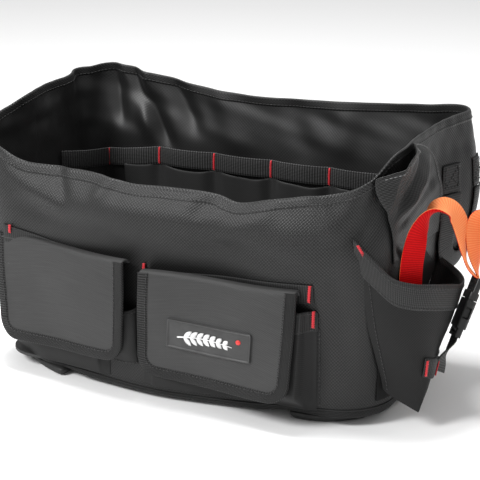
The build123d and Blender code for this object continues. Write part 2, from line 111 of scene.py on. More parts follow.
# the hem at the rim: from its sewn edge outside, over the rim to its sewn edge inside, as (down, out)
HEM = 9.0
HEM_PROFILE = (
    (HEM, 0.1), (HEM - 0.5, 0.7), (1.5, 0.9), (0.2, 0.5), (-0.5, -0.5), (-0.5, -1.6),
    (0.3, -2.4), (1.5, -2.6), (HEM - 0.5, -2.4), (HEM, -1.8),
)

# outlines of the feet, and which way each is turned over from front to back
RIGHT_FOOT = ((122, -38), (122, -107), (150, -105), (173, -95), (191, -77), (197, -54), (197, -38))
LEFT_FOOT = ((-122, -38), (-124, -113), (-153, -101), (-175, -88), (-191, -73), (-197, -52), (-197, -38))
FEET = {
    "front_left": (LEFT_FOOT, 1), "front_right": (RIGHT_FOOT, 1), "back_right": (RIGHT_FOOT, -1),
    "back_left": (tuple((-x, y) for x, y in RIGHT_FOOT), -1),
}
# a foot's section: height, share of the way out from the middle, and inset
FOOT_PROFILE = (
    (0.0, 0.05, 0), (0.0, 1, 7.0), (0.4, 1, 3.5), (2.4, 1, 1.0), (6.0, 1, 0.0), (8.0, 1, 0.6), (9.0, 1, 9.0),
)

# flaps: top left, top right, bottom right and bottom left corners of each panel
FLAPS = {
    "right": ((-21, -135.7, 136), (139, -126.5, 136), (137, -142.5, 28), (-33, -119.5, 26)),
    "left": ((-202, -106, 143), (-38, -137.5, 143), (-44, -132.6, 37), (-196, -110.5, 33)),
}
FLAP_R, ROLL = 21.0, 3.5
FLAP_COLUMNS = 46
# where a flap's cloth starts, behind its fold and on its header
FLAP_START = (7.0, 3.5)
# the binding tape: width, how far it passes the flap's edge, and its section as (share outwards, lift)
BINDING, BINDING_OVER = 11.0, 0.8
BINDING_PROFILE = (
    (0.0, 0.05), (0.03, 0.85), (0.5, 1.1), (0.93, 0.95), (1.0, -0.2), (1.0, -2.4), (0.9, -3.2), (0.05, -3.2),
)
# the badge's top left corner on the flap and its size, and the sprig's leaf pairs and berry on it
BADGE_AT, BADGE_SIZE, BADGE_CORNER = (33.0, 45.0), (89.0, 30.0), 3.0
LEAF_PAIRS, BERRY_AT, BERRY_R = 7, (76, 10), 2.6

# pockets and the webbing above them: ends along x, and the heights of the webbing at those ends
POCKETS = {"right": (-27.0, 154.0), "left": (-206.0, -66.0)}
POCKET_Z, GUSSET, TUCKED = (34.0, 115.0), 13.0, 20.0
BAND = 20.0
FRONT_BANDS = {"right": ((-30.0, 152.0), (112.0, 122.0)), "left": ((-190.0, -64.0), (134.0, 114.0))}
# red bar tacks on the front webbing: x, and low and high ends
FRONT_TACKS = ((-24.5, 125, 138), (148.5, 125, 141), (-180, 146, 154))
SLOT_X, SLOT_HALF, SLOT_OUT, SLOT_Z = -48.0, 17.0, 13.0, (34.0, 95.0)

# inner elastic
TACKS_X = tuple(7 + 67 * k for k in range(-2, 3))
INNER_TACKS = ((("left", 36.0), ("back", -190.0)) + tuple(("back", x) for x in TACKS_X)
               + (("back", 200.0), ("right", 52.0), ("right", 0.0)))
ELASTIC_Z, LOOP_GAP = 181.5, 5.5
ELASTIC_PROFILE = ((-10, 0.2), (-8.5, 0.8), (0, 1.0), (8.5, 0.8), (10, 0.2))
PANEL_Z = (62.0, 170.0)

# the loose front corner: where its folds start as (y, z), its free edge as y by z, and its top as z by y
LAP_ROOT = (-96.0, 190.0)
LAP_EDGE = ((150, 42), (193, 37), (218, 29), (240, 17), (256, -10), (268, -45))
LAP_TOP = ((-100, 244), (-82, 260), (-55, 267.5), (-40, 268.5))

# holster sections: height, middle (x, y) and half size (x, y), at the foot and at the mouth
HOLSTER_LOW, HOLSTER_HIGH = (12.0, 234.0, -80.0, 9.0, 14.0), (190.0, 216.0, 0.0, 55.0, 102.0)
MOUTH_AT, MOUTH_SLOPE = (215.0, 0.0, 145.0), (-0.4407, -0.2849)
# how far the mouth hangs below its plane, by turn from the front edge to the back one
MOUTH_DIP = ((-90, 0), (-80, 8), (-68, 16), (-52, 13), (-35, 6), (-15, 1), (5, 1), (30, 0), (90, 0))
HOLSTER_END_Z = (36.0, 18.0)
# where its front edge is sewn to the bag's corner, by height
HOLSTER_FRONT_X = ((10, 208), (38, 207.5), (70, 204.5), (104, 199.5), (140, 194), (182, 188), (200, 186))
HOLSTER_FRONT_Y = ((10, -80), (38, -80), (70, -91), (104, -101), (140, -105), (182, -108), (200, -109))
# the webbing over its mouth, as (level, lift), from the sewn edge outside, over the mouth and in
HOLSTER_HEM = (
    (0.80, 0.1), (0.803, 0.9), (0.85, 1.3), (0.93, 1.0), (0.99, 1.2), (1.004, 0.4), (1.006, -0.8),
    (1.0, -1.9), (0.958, -2.2),
)

# the tab low on the holster, and its bar tacks: turns and levels
TAB_TURNS, TAB_LEVELS, TAB_TACKS = (-0.56, 0.3), (0.27, 0.43), (-0.5, 0.16)
HOLSTER_TURNS = np.linspace(-np.pi / 2, np.pi / 2, 60)

# buckle and webbing: each station is a centre and the direction across the webbing
WEB, WEB_T = 25.0, 1.8
WEB_PROFILE = (
    (-0.5, 0.0), (-0.49, 0.8), (-0.46, 1.0), (-0.2, 1.05), (0.2, 1.05), (0.46, 1.0), (0.49, 0.8),
    (0.5, 0.0), (0.49, -0.8), (0.46, -1.0), (0.2, -1.05), (-0.2, -1.05), (-0.46, -1.0), (-0.49, -0.8),
)
BUCKLE_LOW, BUCKLE_HIGH, BUCKLE_ACROSS = (261.0, -26.0, 87.0), (273.0, -6.0, 134.0), (-0.39, 0.92, 0.0)
STRAP_TOP = (239, -48, 203.5)
STRAP = (
    ((229, -67, 105), (0.58, 0.81, 0)), ((229, -69, 150), (0.58, 0.81, 0)),
    ((230.5, -65, 175), (0.55, 0.83, 0)), ((233, -60, 191), (0.35, 0.93, 0)),
    (STRAP_TOP, (0.1, 0.98, 0.1)), ((247, -34, 206.5), (-0.19, 0.93, 0.3)),
    ((254, -24, 199), (0.0, 0.9, 0.45)), ((259, -20, 186), (0.15, 0.97, 0.2)),
    ((262, -19, 167), (-0.1, 0.98, 0.05)), ((265, -17, 150), (-0.38, 0.92, 0)),
)
TAIL = (
    ((287, 2, 92), BUCKLE_ACROSS), ((291, 2, 118), BUCKLE_ACROSS), ((295, 4, 150), (-0.2, 0.97, 0)),
    ((292, 5, 180), (0.1, 0.99, 0)), ((281, 5, 196), (0.4, 0.9, 0)), ((270, 1, 189), (0.6, 0.8, 0)),
    ((268.5, -5, 165), (0.35, 0.93, 0)),
)
BUCKLE_WEB = (((251, -47, 50), (0.2, 0.95, -0.2)), ((253.5, -41, 62), (0.0, 1, -0.1)))

# end handles
HANDLE_Y, HANDLE_Z, HANDLE_GRIP = (34.0, 102.0), (123.0, 196.0), 19.0
PATCH_Z = (197.5, 225.5)
# where the cloth of a handle leaves the bag: how far out the hinge is, and the heights where the bend ends
HANDLE_HINGE_X, HANDLE_BEND_Z = 228.0, (199.0, 184.0)
HANDLE_PROFILE = (
    (-0.5, 0.0), (-0.47, 0.9), (0.0, 1.0), (0.47, 0.9), (0.5, 0.0), (0.47, -0.9), (0.0, -1.0), (-0.47, -0.9),
)
# the box and cross of stitches on each patch, as (across, z)
PATCH_STITCHES = (
    ((-9, 203), (9, 203), (9, 223), (-9, 223), (-9, 203), (9, 223)), ((9, 203), (-9, 223)),
)

# the stitches: their pitch, and the arch and thickness of each along its four points
STITCH = 4.2
STITCH_ARCH = np.array((-0.15, 0.25, 0.25, -0.15))
STITCH_RADII = 0.38 * np.array((0.5, 1, 1, 0.5))
TUBE_SIDES = 6

# the camera that took the photo: degrees round and up, millimetres from its target, and its lens
CAMERA_ROUND, CAMERA_UP, CAMERA_AWAY = 26.1, 17.65, 1719.0
CAMERA_TARGET = (20.3, 0.0, 133.8)
CAMERA_SENSOR, CAMERA_LENS = 36.0, 128.04
# the studio, in metres and watts: each light's place, what it looks at, its size and its power
FLOOR_HALF, FLOOR_DROP = 8.0, 0.0004
WORLD_LIGHT = 0.55
LIGHTS = {
    "key": ((-1.0, -1.7, 1.7), (0, 0, 0.12), 0.7, 52),
    "rim": ((1.3, 1.1, 1.5), (0.1, 0, 0.15), 0.9, 5),
    "top": ((-0.3, 0.1, 2.0), (0, 0, 0.1), 0.6, 38),
}


# ------------------------------------------------------------------ numbers and points

def place(points):
    """Bag-centred millimetres to the frame's metres."""
    return np.asarray(points, float) * MM + np.array((CENTRE.x, CENTRE.y, 0.0))


def smooth(value, start, end):
    """0 before start, 1 after end, turning gently between them."""
    t = np.clip((value - start) / (end - start), 0, 1)
    return t * t * (3 - 2 * t)


def bell(value, middle, width):
    return np.exp(-(((value - middle) / width) ** 2))


def mix(a, b, share):
    return a + (b - a) * share


def both(a, b):
    """Two numbers or arrays, as arrays of one shape."""
    return np.broadcast_arrays(np.asarray(a, float), np.asarray(b, float))


def curve(value, table):
    """A smooth curve through the points of a table."""
    xs, ys = np.array(table, float).T
    slopes = np.gradient(ys, xs)
    value = np.clip(value, xs[0], xs[-1])
    k = np.clip(np.searchsorted(xs, value) - 1, 0, len(xs) - 2)
    h = xs[k + 1] - xs[k]
    t = (value - xs[k]) / h
    return ((1 + 2 * t) * (1 - t) ** 2 * ys[k] + t * (1 - t) ** 2 * h * slopes[k]
            + t * t * (3 - 2 * t) * ys[k + 1] + t * t * (t - 1) * h * slopes[k + 1])


def ripples(points, seed, wavelengths, amplitude):
    """A fixed sum of waves: the small unevenness of standing cloth."""
    rng = np.random.default_rng(seed)
    total = np.zeros(points.shape[:-1])
    for wavelength in wavelengths:
        for _ in range(3):
            direction = rng.normal(size=3)
            direction /= np.linalg.norm(direction)
            phase = rng.uniform(0, 2 * np.pi)
            share = amplitude * wavelength / wavelengths[0] / 3
            total += share * np.sin(points @ direction * 2 * np.pi / wavelength + phase)
    return total


def unit(vectors):
    vectors = np.asarray(vectors, float)
    return vectors / np.maximum(np.linalg.norm(vectors, axis=-1, keepdims=True), 1e-9)


def run_of(path):
    """The distance along a path at each of its points."""
    return np.concatenate([[0], np.cumsum(np.linalg.norm(np.diff(path, axis=0), axis=1))])


def resample(path, step):
    """Points at even steps along a path."""
    path = np.asarray(path, float)
    run = run_of(path)
    at = np.linspace(0, run[-1], max(2, int(round(run[-1] / step)) + 1))
    return np.stack([np.interp(at, run, column) for column in path.T], 1)


def lifted(surface, a, b, lift):
    """Points of a surface, moved out along its normal. lift may be an array."""
    step = 1e-3
    a, b = both(a, b)
    across = surface(a + step, b) - surface(a - step, b)
    up = surface(a, b + step) - surface(a, b - step)
    return surface(a, b) + unit(np.cross(across, up)) * np.asarray(lift, float)[..., None]


def rows_of(surface, a, b, lift=0.0):
    """A surface's points, lifted off it: rows follow b, columns follow a."""
    across, up = np.meshgrid(a, b)
    return lifted(surface, across, up, lift) if lift else surface(across, up)


# ------------------------------------------------------------------ meshes

def add_mesh(name, points, faces, material, cloth=None):
    """A mesh object from millimetre points. cloth holds each point's place in its cloth, in millimetres."""
    mesh = bpy.data.meshes.new(name)
    mesh.from_pydata(place(points).reshape(-1, 3).tolist(), [], [tuple(int(i) for i in f) for f in faces])
    if cloth is not None:
        data = np.zeros((len(mesh.vertices), 3), np.float32)
        data[:, :2] = np.asarray(cloth, float).reshape(-1, 2) * MM
        attribute = mesh.attributes.new("cloth", "FLOAT_VECTOR", "POINT")
        attribute.data.foreach_set("vector", data.ravel())
    mesh.polygons.foreach_set("use_smooth", [True] * len(mesh.polygons))
    mesh.materials.append(material)
    mesh.update()
    return link(bpy.data.objects.new(name, mesh))


def link(obj):
    bpy.context.scene.collection.objects.link(obj)
    return obj


def thicken(obj, thickness, offset=-1.0):
    solid = obj.modifiers.new("thickness", "SOLIDIFY")
    solid.thickness = thickness * MM
    solid.offset = offset


def subdivide(obj):
    rounder = obj.modifiers.new("rounding", "SUBSURF")
    rounder.levels = rounder.render_levels = 1


def line_inside(obj):
    """Gives the inner face of a thickened sheet the lining."""
    obj.data.materials.append(LINING)
    obj.modifiers["thickness"].material_offset = 1


def sharpen(mesh, edges):
    """Keeps edges, given by their ends, sharp under subdivision."""
    wanted = {tuple(sorted(ends)) for ends in edges}
    attribute = mesh.attributes.new("crease_edge", "FLOAT", "EDGE")
    for edge in mesh.edges:
        if tuple(sorted(edge.vertices)) in wanted:
            attribute.data[edge.index].value = 1.0


def grid_faces(rows, columns, closed=False, offset=0):
    faces = []
    for r in range(rows - 1):
        for c in range(columns if closed else columns - 1):
            d = (c + 1) % columns
            faces.append((r * columns + c, r * columns + d, (r + 1) * columns + d, (r + 1) * columns + c))
    return [tuple(i + offset for i in f) for f in faces]


def tube_faces(rings, sides, start=0):
    """Faces round the rings of a tube, and one over each of its ends."""
    last = start + (rings - 1) * sides
    faces = grid_faces(rings, sides, closed=True, offset=start)
    faces.append(tuple(start + k for k in reversed(range(sides))))
    faces.append(tuple(last + k for k in range(sides)))
    return faces


def cloth_places(grid):
    """Distances along the middle row and up each column."""
    u = run_of(grid[len(grid) // 2])
    steps = np.linalg.norm(np.diff(grid, axis=0), axis=2)
    v = np.concatenate([np.zeros((1, grid.shape[1])), np.cumsum(steps, axis=0)])
    return np.stack([np.broadcast_to(u, v.shape), v], -1)


def add_grid(name, grid, material, thickness=0.0, offset=-1.0, closed=False, round_off=True, turned=False):
    """A sheet of quads through rows of points. turned lets the ribs of webbing cross the rows."""
    grid = np.asarray(grid, float)
    cloth = cloth_places(grid)
    faces = grid_faces(*grid.shape[:2], closed)
    obj = add_mesh(name, grid, faces, material, cloth[..., ::-1] if turned else cloth)
    if thickness:
        thicken(obj, thickness, offset)
    if round_off:
        subdivide(obj)
    return obj


def belongs(obj, body, slot, *nodes):
    """The body that a piece rides on, and the CAD nodes that it replaces. slot is not used."""
    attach(obj, body)
    if nodes:
        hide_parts(*nodes)


def tube_rings(path, radii, up):
    """Rings of points round a path."""
    tangent = unit(np.gradient(path, axis=0))
    side = unit(np.cross(tangent, up))
    other = np.cross(side, tangent)
    angles = (np.arange(TUBE_SIDES) * 2 * np.pi / TUBE_SIDES)[None, :, None]
    away = np.cos(angles) * side[:, None] + np.sin(angles) * other[:, None]
    return path[:, None] + away * np.asarray(radii, float)[:, None, None]


def add_tubes(name, tubes, material):
    """Several capped tubes in one mesh: each is (path, radii, up)."""
    points, faces = [], []
    for path, radii, up in tubes:
        rings = tube_rings(np.asarray(path, float), radii, np.asarray(up, float))
        faces.extend(tube_faces(len(rings), TUBE_SIDES, start=len(points)))
        points.extend(rings.reshape(-1, 3))
    return add_mesh(name, np.array(points), faces, material)


def stitch_tubes(path, out, pitch=STITCH):
    """One short arched tube for each stitch along a path. out points away from the cloth."""
    path = resample(np.hstack([path, np.broadcast_to(out, path.shape)]), pitch / 4)
    tubes = []
    for k in range(0, len(path) - 3, 4):
        piece, away = path[k:k + 4, :3], unit(path[k:k + 4, 3:])
        up = np.cross(away[0], piece[-1] - piece[0])
        tubes.append((piece + away * STITCH_ARCH[:, None], STITCH_RADII, up))
    return tubes


def add_stitches(name, body, paths, material, pitch=STITCH):
    """A piece of stitches along paths, each with the directions away from the cloth."""
    tubes = [tube for path, out in paths for tube in stitch_tubes(path, out, pitch)]
    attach(add_tubes(name, tubes, material), body)


def surface_path(surface, a, b, lift):
    """A path on a surface, with its outward directions."""
    low, high = lifted(surface, a, b, lift), lifted(surface, a, b, lift + 1)
    return low, high - low


def bartack(centre, along, out, length=15.0, width=3.0):
    """A dense zigzag of thread over two straight core threads."""
    thread, core_thread = 0.52, 0.8
    centre, along, out = np.asarray(centre, float), unit(along), unit(out)
    across = np.cross(out, along)
    turns = int(length / 1.15)
    t = np.linspace(-0.5, 0.5, turns * 2 + 1)
    swing = np.where(np.arange(len(t)) % 2, 1, -1) * width / 2
    path = resample(centre + along * (t * length)[:, None] + across * swing[:, None] + out * 0.55, 1.0)
    core = resample([centre + along * s * length / 2 + out * 0.4 for s in (-1, 1)], 3.0)
    return [(path, np.full(len(path), thread), out), (core, np.full(len(core), core_thread), out)]


def strap_line(stations, steps):
    """The middle of webbing through (centre, across) stations, its side direction and its outward one."""
    last = len(stations) - 1
    at = np.linspace(0, last, last * steps + 1)
    line, side = (np.stack([curve(at, list(enumerate(column))) for column in np.array(part, float).T], 1)
                  for part in zip(*stations))
    tangent = unit(np.gradient(line, axis=0))
    side = unit(side)
    side = unit(side - tangent * np.sum(side * tangent, axis=1, keepdims=True))
    return line, side, np.cross(tangent, side)


def add_strap(name, stations, material, inner=None, steps=12):
    """A webbing strap with rounded edges. inner is the material of the face that looks inwards: a darker copy
    of the webbing that paints shade on that face.
    """
    line, side, out = strap_line(stations, steps)
    grid = np.stack([line + side * WEB * p + out * WEB_T / 2 * q for p, q in WEB_PROFILE], 1)
    rows, columns = grid.shape[:2]
    places = np.array([p for p, _ in WEB_PROFILE]) * WEB
    cloth = np.stack(both(places[None], run_of(line)[:, None]), -1)
    obj = add_mesh(name, grid, tube_faces(rows, columns), material, cloth)
    if inner:
        # the faces that look inwards take the darker copy: painted shade
        obj.data.materials.append(inner)
        for k in range((rows - 1) * columns):
            obj.data.polygons[k].material_index = int(k % columns >= columns // 2)
    return obj


# ------------------------------------------------------------------ materials

class Shading:
    """A material's node tree, with short calls for its nodes."""

    def __init__(self, name, roughness=0.6):
        self.material = bpy.data.materials.new(name)
        self.material.use_nodes = True
        self.tree = self.material.node_tree
        self.inputs = self.tree.nodes["Principled BSDF"].inputs
        self.inputs["Roughness"].default_value = roughness

    def node(self, kind, **settings):
        node = self.tree.nodes.new(kind)
        for key, value in settings.items():
            setattr(node, key, value)
        return node

    def feed(self, socket, value):
        if isinstance(value, bpy.types.NodeSocket):
            self.tree.links.new(value, socket)
        else:
            socket.default_value = value

    def math(self, operation, a, b=0.0, c=0.0):
        node = self.node("ShaderNodeMath", operation=operation)
        for socket, value in zip(node.inputs, (a, b, c)):
            self.feed(socket, value)
        return node.outputs[0]

    def weighted(self, a, b, share):
        """a and b added up, with this share for b."""
        return self.math("ADD", self.math("MULTIPLY", a, 1 - share), self.math("MULTIPLY", b, share))

    def noise(self, scale, detail=3.0, roughness=0.5, where=None):
        node = self.node("ShaderNodeTexNoise")
        self.feed(node.inputs["Vector"], where or self.node("ShaderNodeTexCoord").outputs["Object"])
        node.inputs["Scale"].default_value = scale
        node.inputs["Detail"].default_value = detail
        node.inputs["Roughness"].default_value = roughness
        return node.outputs["Fac"]

    def scaled(self, factor, low, high):
        node = self.node("ShaderNodeMapRange")
        self.feed(node.inputs["Value"], factor)
        node.inputs["To Min"].default_value = low
        node.inputs["To Max"].default_value = high
        return node.outputs["Result"]

    def colour(self, factor, low, high, span=(0.0, 1.0)):
        """The base colour goes from low to high as factor goes over span."""
        ramp = self.node("ShaderNodeValToRGB")
        for element, position, tone in zip(ramp.color_ramp.elements, span, (low, high)):
            element.position = position
            element.color = (*tone, 1)
        self.feed(ramp.inputs["Fac"], factor)
        self.feed(self.inputs["Base Color"], ramp.outputs["Color"])

    def rough(self, factor, least, most):
        """Where factor is high, the surface is smoother."""
        self.feed(self.inputs["Roughness"], self.scaled(factor, most, least))

    def bump(self, height, strength, distance):
        node = self.node("ShaderNodeBump")
        node.inputs["Strength"].default_value = strength
        node.inputs["Distance"].default_value = distance
        self.feed(node.inputs["Height"], height)
        self.feed(self.inputs["Normal"], node.outputs["Normal"])

    def wave(self, distance, pitch):
        """A sine along a distance in metres, from 0 to 1."""
        sine = self.math("SINE", self.math("MULTIPLY", distance, 2 * np.pi / pitch))
        return self.math("MULTIPLY_ADD", sine, 0.5, 0.5)

    def cloth_vector(self):
        return self.node("ShaderNodeAttribute", attribute_name="cloth").outputs["Vector"]

    def cloth(self):
        """The two distances of a point in its own cloth, in metres."""
        split = self.node("ShaderNodeSeparateXYZ")
        self.feed(split.inputs[0], self.cloth_vector())
        return split.outputs[0], split.outputs[1]

    def streaks(self):
        """Slight differences from yarn to yarn, along the cloth."""
        stretch = self.node("ShaderNodeVectorMath", operation="MULTIPLY")
        self.feed(stretch.inputs[0], self.cloth_vector())
        stretch.inputs[1].default_value = (25.0, 900.0, 1.0)
        return self.noise(1.0, 3.0, 0.6, where=stretch.outputs[0])

    def sheen(self, weight, gloss=0.35):
        self.inputs["Specular IOR Level"].default_value = gloss
        self.inputs["Sheen Weight"].default_value = weight
        self.inputs["Sheen Roughness"].default_value = 0.5


def grey(value):
    return (value, value, value)


def woven(name, low, high, diagonal=0.0014, thread=0.0009, roughness=(0.55, 0.75), sheen=0.03, relief=0.00025,
          uneven=0.25, gloss=0.35, span=(0.25, 0.85)):
    """Woven polyester: over-and-under threads crossed by the diagonal rib of the weave."""
    s = Shading(name)
    u, v = s.cloth()
    wander = s.scaled(s.noise(9.0, 2.0), -0.0016, 0.0016)
    up, down = (s.math("ADD", s.math(way, u, v), wander) for way in ("ADD", "SUBTRACT"))
    side, pitch = s.noise(14.0, 2.0), diagonal * 1.414
    rib = s.math("ADD", s.math("MULTIPLY", s.wave(up, pitch), side),
                 s.math("MULTIPLY", s.wave(down, pitch), s.math("SUBTRACT", 1.0, side)))
    threads = s.math("MULTIPLY", s.wave(u, thread), s.wave(v, thread))
    height = s.weighted(rib, threads, 0.25)
    patch = s.weighted(s.noise(5.0, 4.0, 0.6), s.streaks(), 0.5)
    shade = s.weighted(height, patch, uneven)
    s.colour(shade, low, high, span)
    s.rough(shade, *roughness)
    s.bump(height, 0.55, relief)
    s.sheen(sheen, gloss)
    return s.material


def ribbed(name, low, high, pitch=0.0021, relief=0.0003, sheen=0.03, across=0.0016, gloss=0.35):
    """Webbing or tape: cross ribs along its length, with fine lengthwise yarns."""
    s = Shading(name)
    u, v = s.cloth()
    height = s.weighted(s.wave(v, pitch), s.wave(u, across), 0.3)
    shade = s.weighted(height, s.noise(30.0, 3.0), 0.25)
    s.colour(shade, low, high, (0.3, 0.8))
    s.rough(shade, 0.5, 0.75)
    s.bump(height, 0.8, relief)
    s.sheen(sheen, gloss)
    return s.material


def moulded(name, low, high, roughness, grain=900.0, relief=0.00012, metallic=0.0):
    """Moulded rubber or plastic: fine grain, with slightly rubbed patches."""
    s = Shading(name)
    rubbed = s.noise(60.0, 5.0, 0.65)
    s.colour(rubbed, low, high, (0.35, 0.7))
    s.rough(rubbed, *roughness)
    s.inputs["Metallic"].default_value = metallic
    s.bump(s.noise(grain, 2.0, 0.6), 0.5, relief)
    return s.material


def thread_of(name, low, high):
    """Twisted sewing thread."""
    s = Shading(name, 0.55)
    twist = s.noise(2600.0, 2.0)
    s.colour(twist, low, high, (0.35, 0.65))
    s.rough(twist, 0.45, 0.7)
    s.bump(twist, 0.4, 0.0001)
    s.sheen(0.2)
    return s.material


def fuzzy(name, low, high):
    """Hook or loop tape."""
    s = Shading(name, 0.9)
    fuzz = s.noise(1400.0, 4.0, 0.7)
    s.colour(fuzz, low, high, (0.3, 0.7))
    s.rough(fuzz, 0.8, 1.0)
    s.bump(fuzz, 0.9, 0.0006)
    s.sheen(0.1)
    return s.material


COARSE = woven("coarse_polyester", grey(0.0008), grey(0.026), 0.0024, 0.0012, roughness=(0.36, 0.52),
               relief=0.0006, gloss=0.32, span=(0.33, 0.77))
LINING = woven("bag_lining", grey(0.002), grey(0.016), 0.0024, 0.0012, roughness=(0.36, 0.5),
               relief=0.0003, gloss=0.5)
PANEL = woven("inner_pocket_fabric", grey(0.008), grey(0.034), relief=0.0002)
FINE = woven("fine_polyester", grey(0.02), grey(0.048), relief=0.00015, uneven=0.6, sheen=0.04, gloss=0.32,
             span=(0.32, 0.7))
BASE = woven("base_polyester", grey(0.0006), grey(0.014), 0.0024, 0.0012, relief=0.0004, gloss=0.3)
POCKET = woven("pocket_fabric", grey(0.003), grey(0.016), relief=0.00012)
HOLSTER = woven("holster_fabric", grey(0.001), grey(0.015), 0.0019, 0.0011, relief=0.0003, gloss=0.28)
# painted shade: a near-black sheet that darkens the wall inside the holster
HOLSTER_PAINTED_SHADE = woven("holster_painted_shade", grey(0.0004), grey(0.004), 0.0024, 0.0012, relief=0.0002, gloss=0.2)
HOLSTER_BAND = ribbed("holster_band", grey(0.004), grey(0.04), relief=0.0004, across=0.0021)
TAPE = ribbed("binding_tape", grey(0.001), grey(0.03), 0.0026, relief=0.0007, gloss=0.25)
WEBBING = ribbed("black_webbing", grey(0.004), grey(0.018), 0.0024)
ELASTIC = ribbed("elastic_band", grey(0.001), grey(0.045), 0.0028, relief=0.0007)
# one orange-red webbing in two copies: a lit orange copy for the outer faces, and a dark red copy as painted
# shade for the inner faces
ORANGE_LIT_FACE = ribbed("orange_webbing", (0.95, 0.24, 0.075), (1.0, 0.36, 0.13), relief=0.0002, gloss=0.2)
WEBBING_SHADED_FACE = ribbed("webbing_painted_shade", (0.45, 0.001, 0.002), (0.68, 0.002, 0.004), relief=0.0002, sheen=0.0, gloss=0.1)
RED_THREAD = thread_of("red_thread", (0.38, 0.006, 0.012), (0.72, 0.03, 0.045))
DARK_THREAD = thread_of("dark_thread", grey(0.008), grey(0.03))
PALE_THREAD = thread_of("pale_thread", grey(0.1), grey(0.22))
RUBBER = moulded("badge_rubber", grey(0.022), grey(0.036), (0.45, 0.6))
MARK = moulded("badge_mark", grey(0.62), grey(0.8), (0.4, 0.55))
BERRY = moulded("badge_berry", (0.6, 0.02, 0.02), (0.8, 0.05, 0.04), (0.35, 0.5))
FOOT = moulded("foot_rubber", grey(0.006), grey(0.014), (0.5, 0.75), grain=500.0, relief=0.0003)
STEEL = moulded("rivet_steel", grey(0.35), grey(0.5), (0.25, 0.4), metallic=1.0)
BOARD = moulded("board", grey(0.02), grey(0.04), (0.6, 0.8), grain=400.0, relief=0.0004)
PLASTIC = moulded("buckle_plastic", grey(0.006), grey(0.016), (0.3, 0.45))
TOUCH = fuzzy("touch_tape", grey(0.012), grey(0.05))


# ------------------------------------------------------------------ the bag's surface

def half_length_at(z):
    return mix(HALF_LENGTH, HALF_LENGTH_TOP, np.clip((z - 20) / (TOP_Z - 20), 0, 1))


def corner_radius(corner, z):
    low, high = CORNERS[corner]
    return mix(low, high, smooth(z, 10, 130))


def nominal(side, share, z):
    """Where a side's plain rounded-box surface is, and which way it faces. share runs along the side."""
    start, end, along, out = SIDES[side]
    share, z = both(share, z)
    half, reach = half_length_at(z), HALF_DEPTH + 0 * z
    if side not in LONG_SIDES:
        half, reach = reach, half
    r0, r1 = corner_radius(start, z), corner_radius(end, z)
    arc0, arc1 = r0 * np.pi / 4, r1 * np.pi / 4
    straight = 2 * half - r0 - r1
    d = share * (arc0 + straight + arc1)
    turn0 = np.clip(np.pi / 4 - d / r0, 0, None)
    turn1 = np.clip((d - arc0 - straight) / r1, 0, None)
    p = np.where(turn0 > 0, r0 - half - r0 * np.sin(turn0),
                 np.where(turn1 > 0, half - r1 + r1 * np.sin(turn1), r0 - half + d - arc0))
    q = np.where(turn0 > 0, reach - r0 + r0 * np.cos(turn0),
                 np.where(turn1 > 0, reach - r1 + r1 * np.cos(turn1), reach))
    turn = turn1 - turn0
    points = np.stack([p * along[k] + q * out[k] for k in (0, 1)] + [z], -1)
    facing = np.stack([np.sin(turn) * along[k] + np.cos(turn) * out[k] for k in (0, 1)] + [0 * z], -1)
    return points, facing


def crease(points, start, end, width):
    """How near points are to a straight crease between two places, given as (x, z)."""
    x, z = points[..., 0] - start[0], points[..., 2] - start[1]
    dx, dz = end[0] - start[0], end[1] - start[1]
    length = np.hypot(dx, dz)
    along = (x * dx + z * dz) / length
    off = (x * dz - z * dx) / length
    ends = smooth(along, -0.25 * length, 0.2 * length) * (1 - smooth(along, 0.8 * length, 1.25 * length))
    return np.exp(-((off / width) ** 2)) * ends


def swell(points):
    """How far the cloth stands out from the plain box, by place."""
    x, y, z = points[..., 0], points[..., 1], points[..., 2]
    near = {
        "front": smooth(-y, 55, 95), "back": smooth(y, 60, 100),
        "right": smooth(x, 175, 214), "left": smooth(-x, 175, 214),
    }
    # the front's foot is full and its rim leans in; the back's rim leans out
    out = near["front"] * bell(x, -15, 75) * 12 * (1 - smooth(z, 30, 120))
    out -= near["front"] * 15 * smooth(z, 186, 226) * bell(x, -20, 185)
    out += near["back"] * 7 * smooth(z, 196, 262)
    for side, bulges in BULGES.items():
        along = x if side in LONG_SIDES else y
        for depth, (middle, width), (level, height) in bulges:
            out += near[side] * depth * bell(along, middle, width) * bell(z, level, height)
    for side, creases in CREASES.items():
        for start, end, depth, width in creases:
            out += near[side] * depth * crease(points, start, end, width)
    # the front left corner is hollow low down; the left end is full in front, with a wavy rim
    out -= 7 * np.exp(-(((x + 180) ** 2 + (y + 95) ** 2) / 42 ** 2)) * (1 - smooth(z, 40, 120))
    out += near["left"] * 15 * bell(y, -62, 48) * smooth(z, 20, 60)
    out += near["left"] * 3 * np.sin(y / 13.0) * smooth(z, 215, 262) * smooth(y, -60, -30)
    # the rim is pinched in at the back left corner
    out -= bell(np.hypot(x + 212, y - 100), 0, 13) * 11 * smooth(z, 200, 255)
    calm = near["front"] * smooth(x, 120, 170)
    out += ripples(points, 9, (30.0, 17.0), 1.0) * smooth(z, 190, 225) * (1 - calm)
    return out + ripples(points, 5, (95.0, 52.0), 1.6) * smooth(z, 15, 80)


def bag(side, share, z, out=0.0):
    """A point of the bag's outer surface, or out from it."""
    points, facing = nominal(side, share, z)
    return points + facing * (swell(points) + out)[..., None]


def rim_z(side, share):
    points, _ = nominal(side, share, 150.0)
    return curve(points[..., 0 if side in LONG_SIDES else 1], RIMS[side])


def seam_z(side, share):
    points, _ = nominal(side, share, 20.0)
    return curve(points[..., 0], BASE_SEAM)


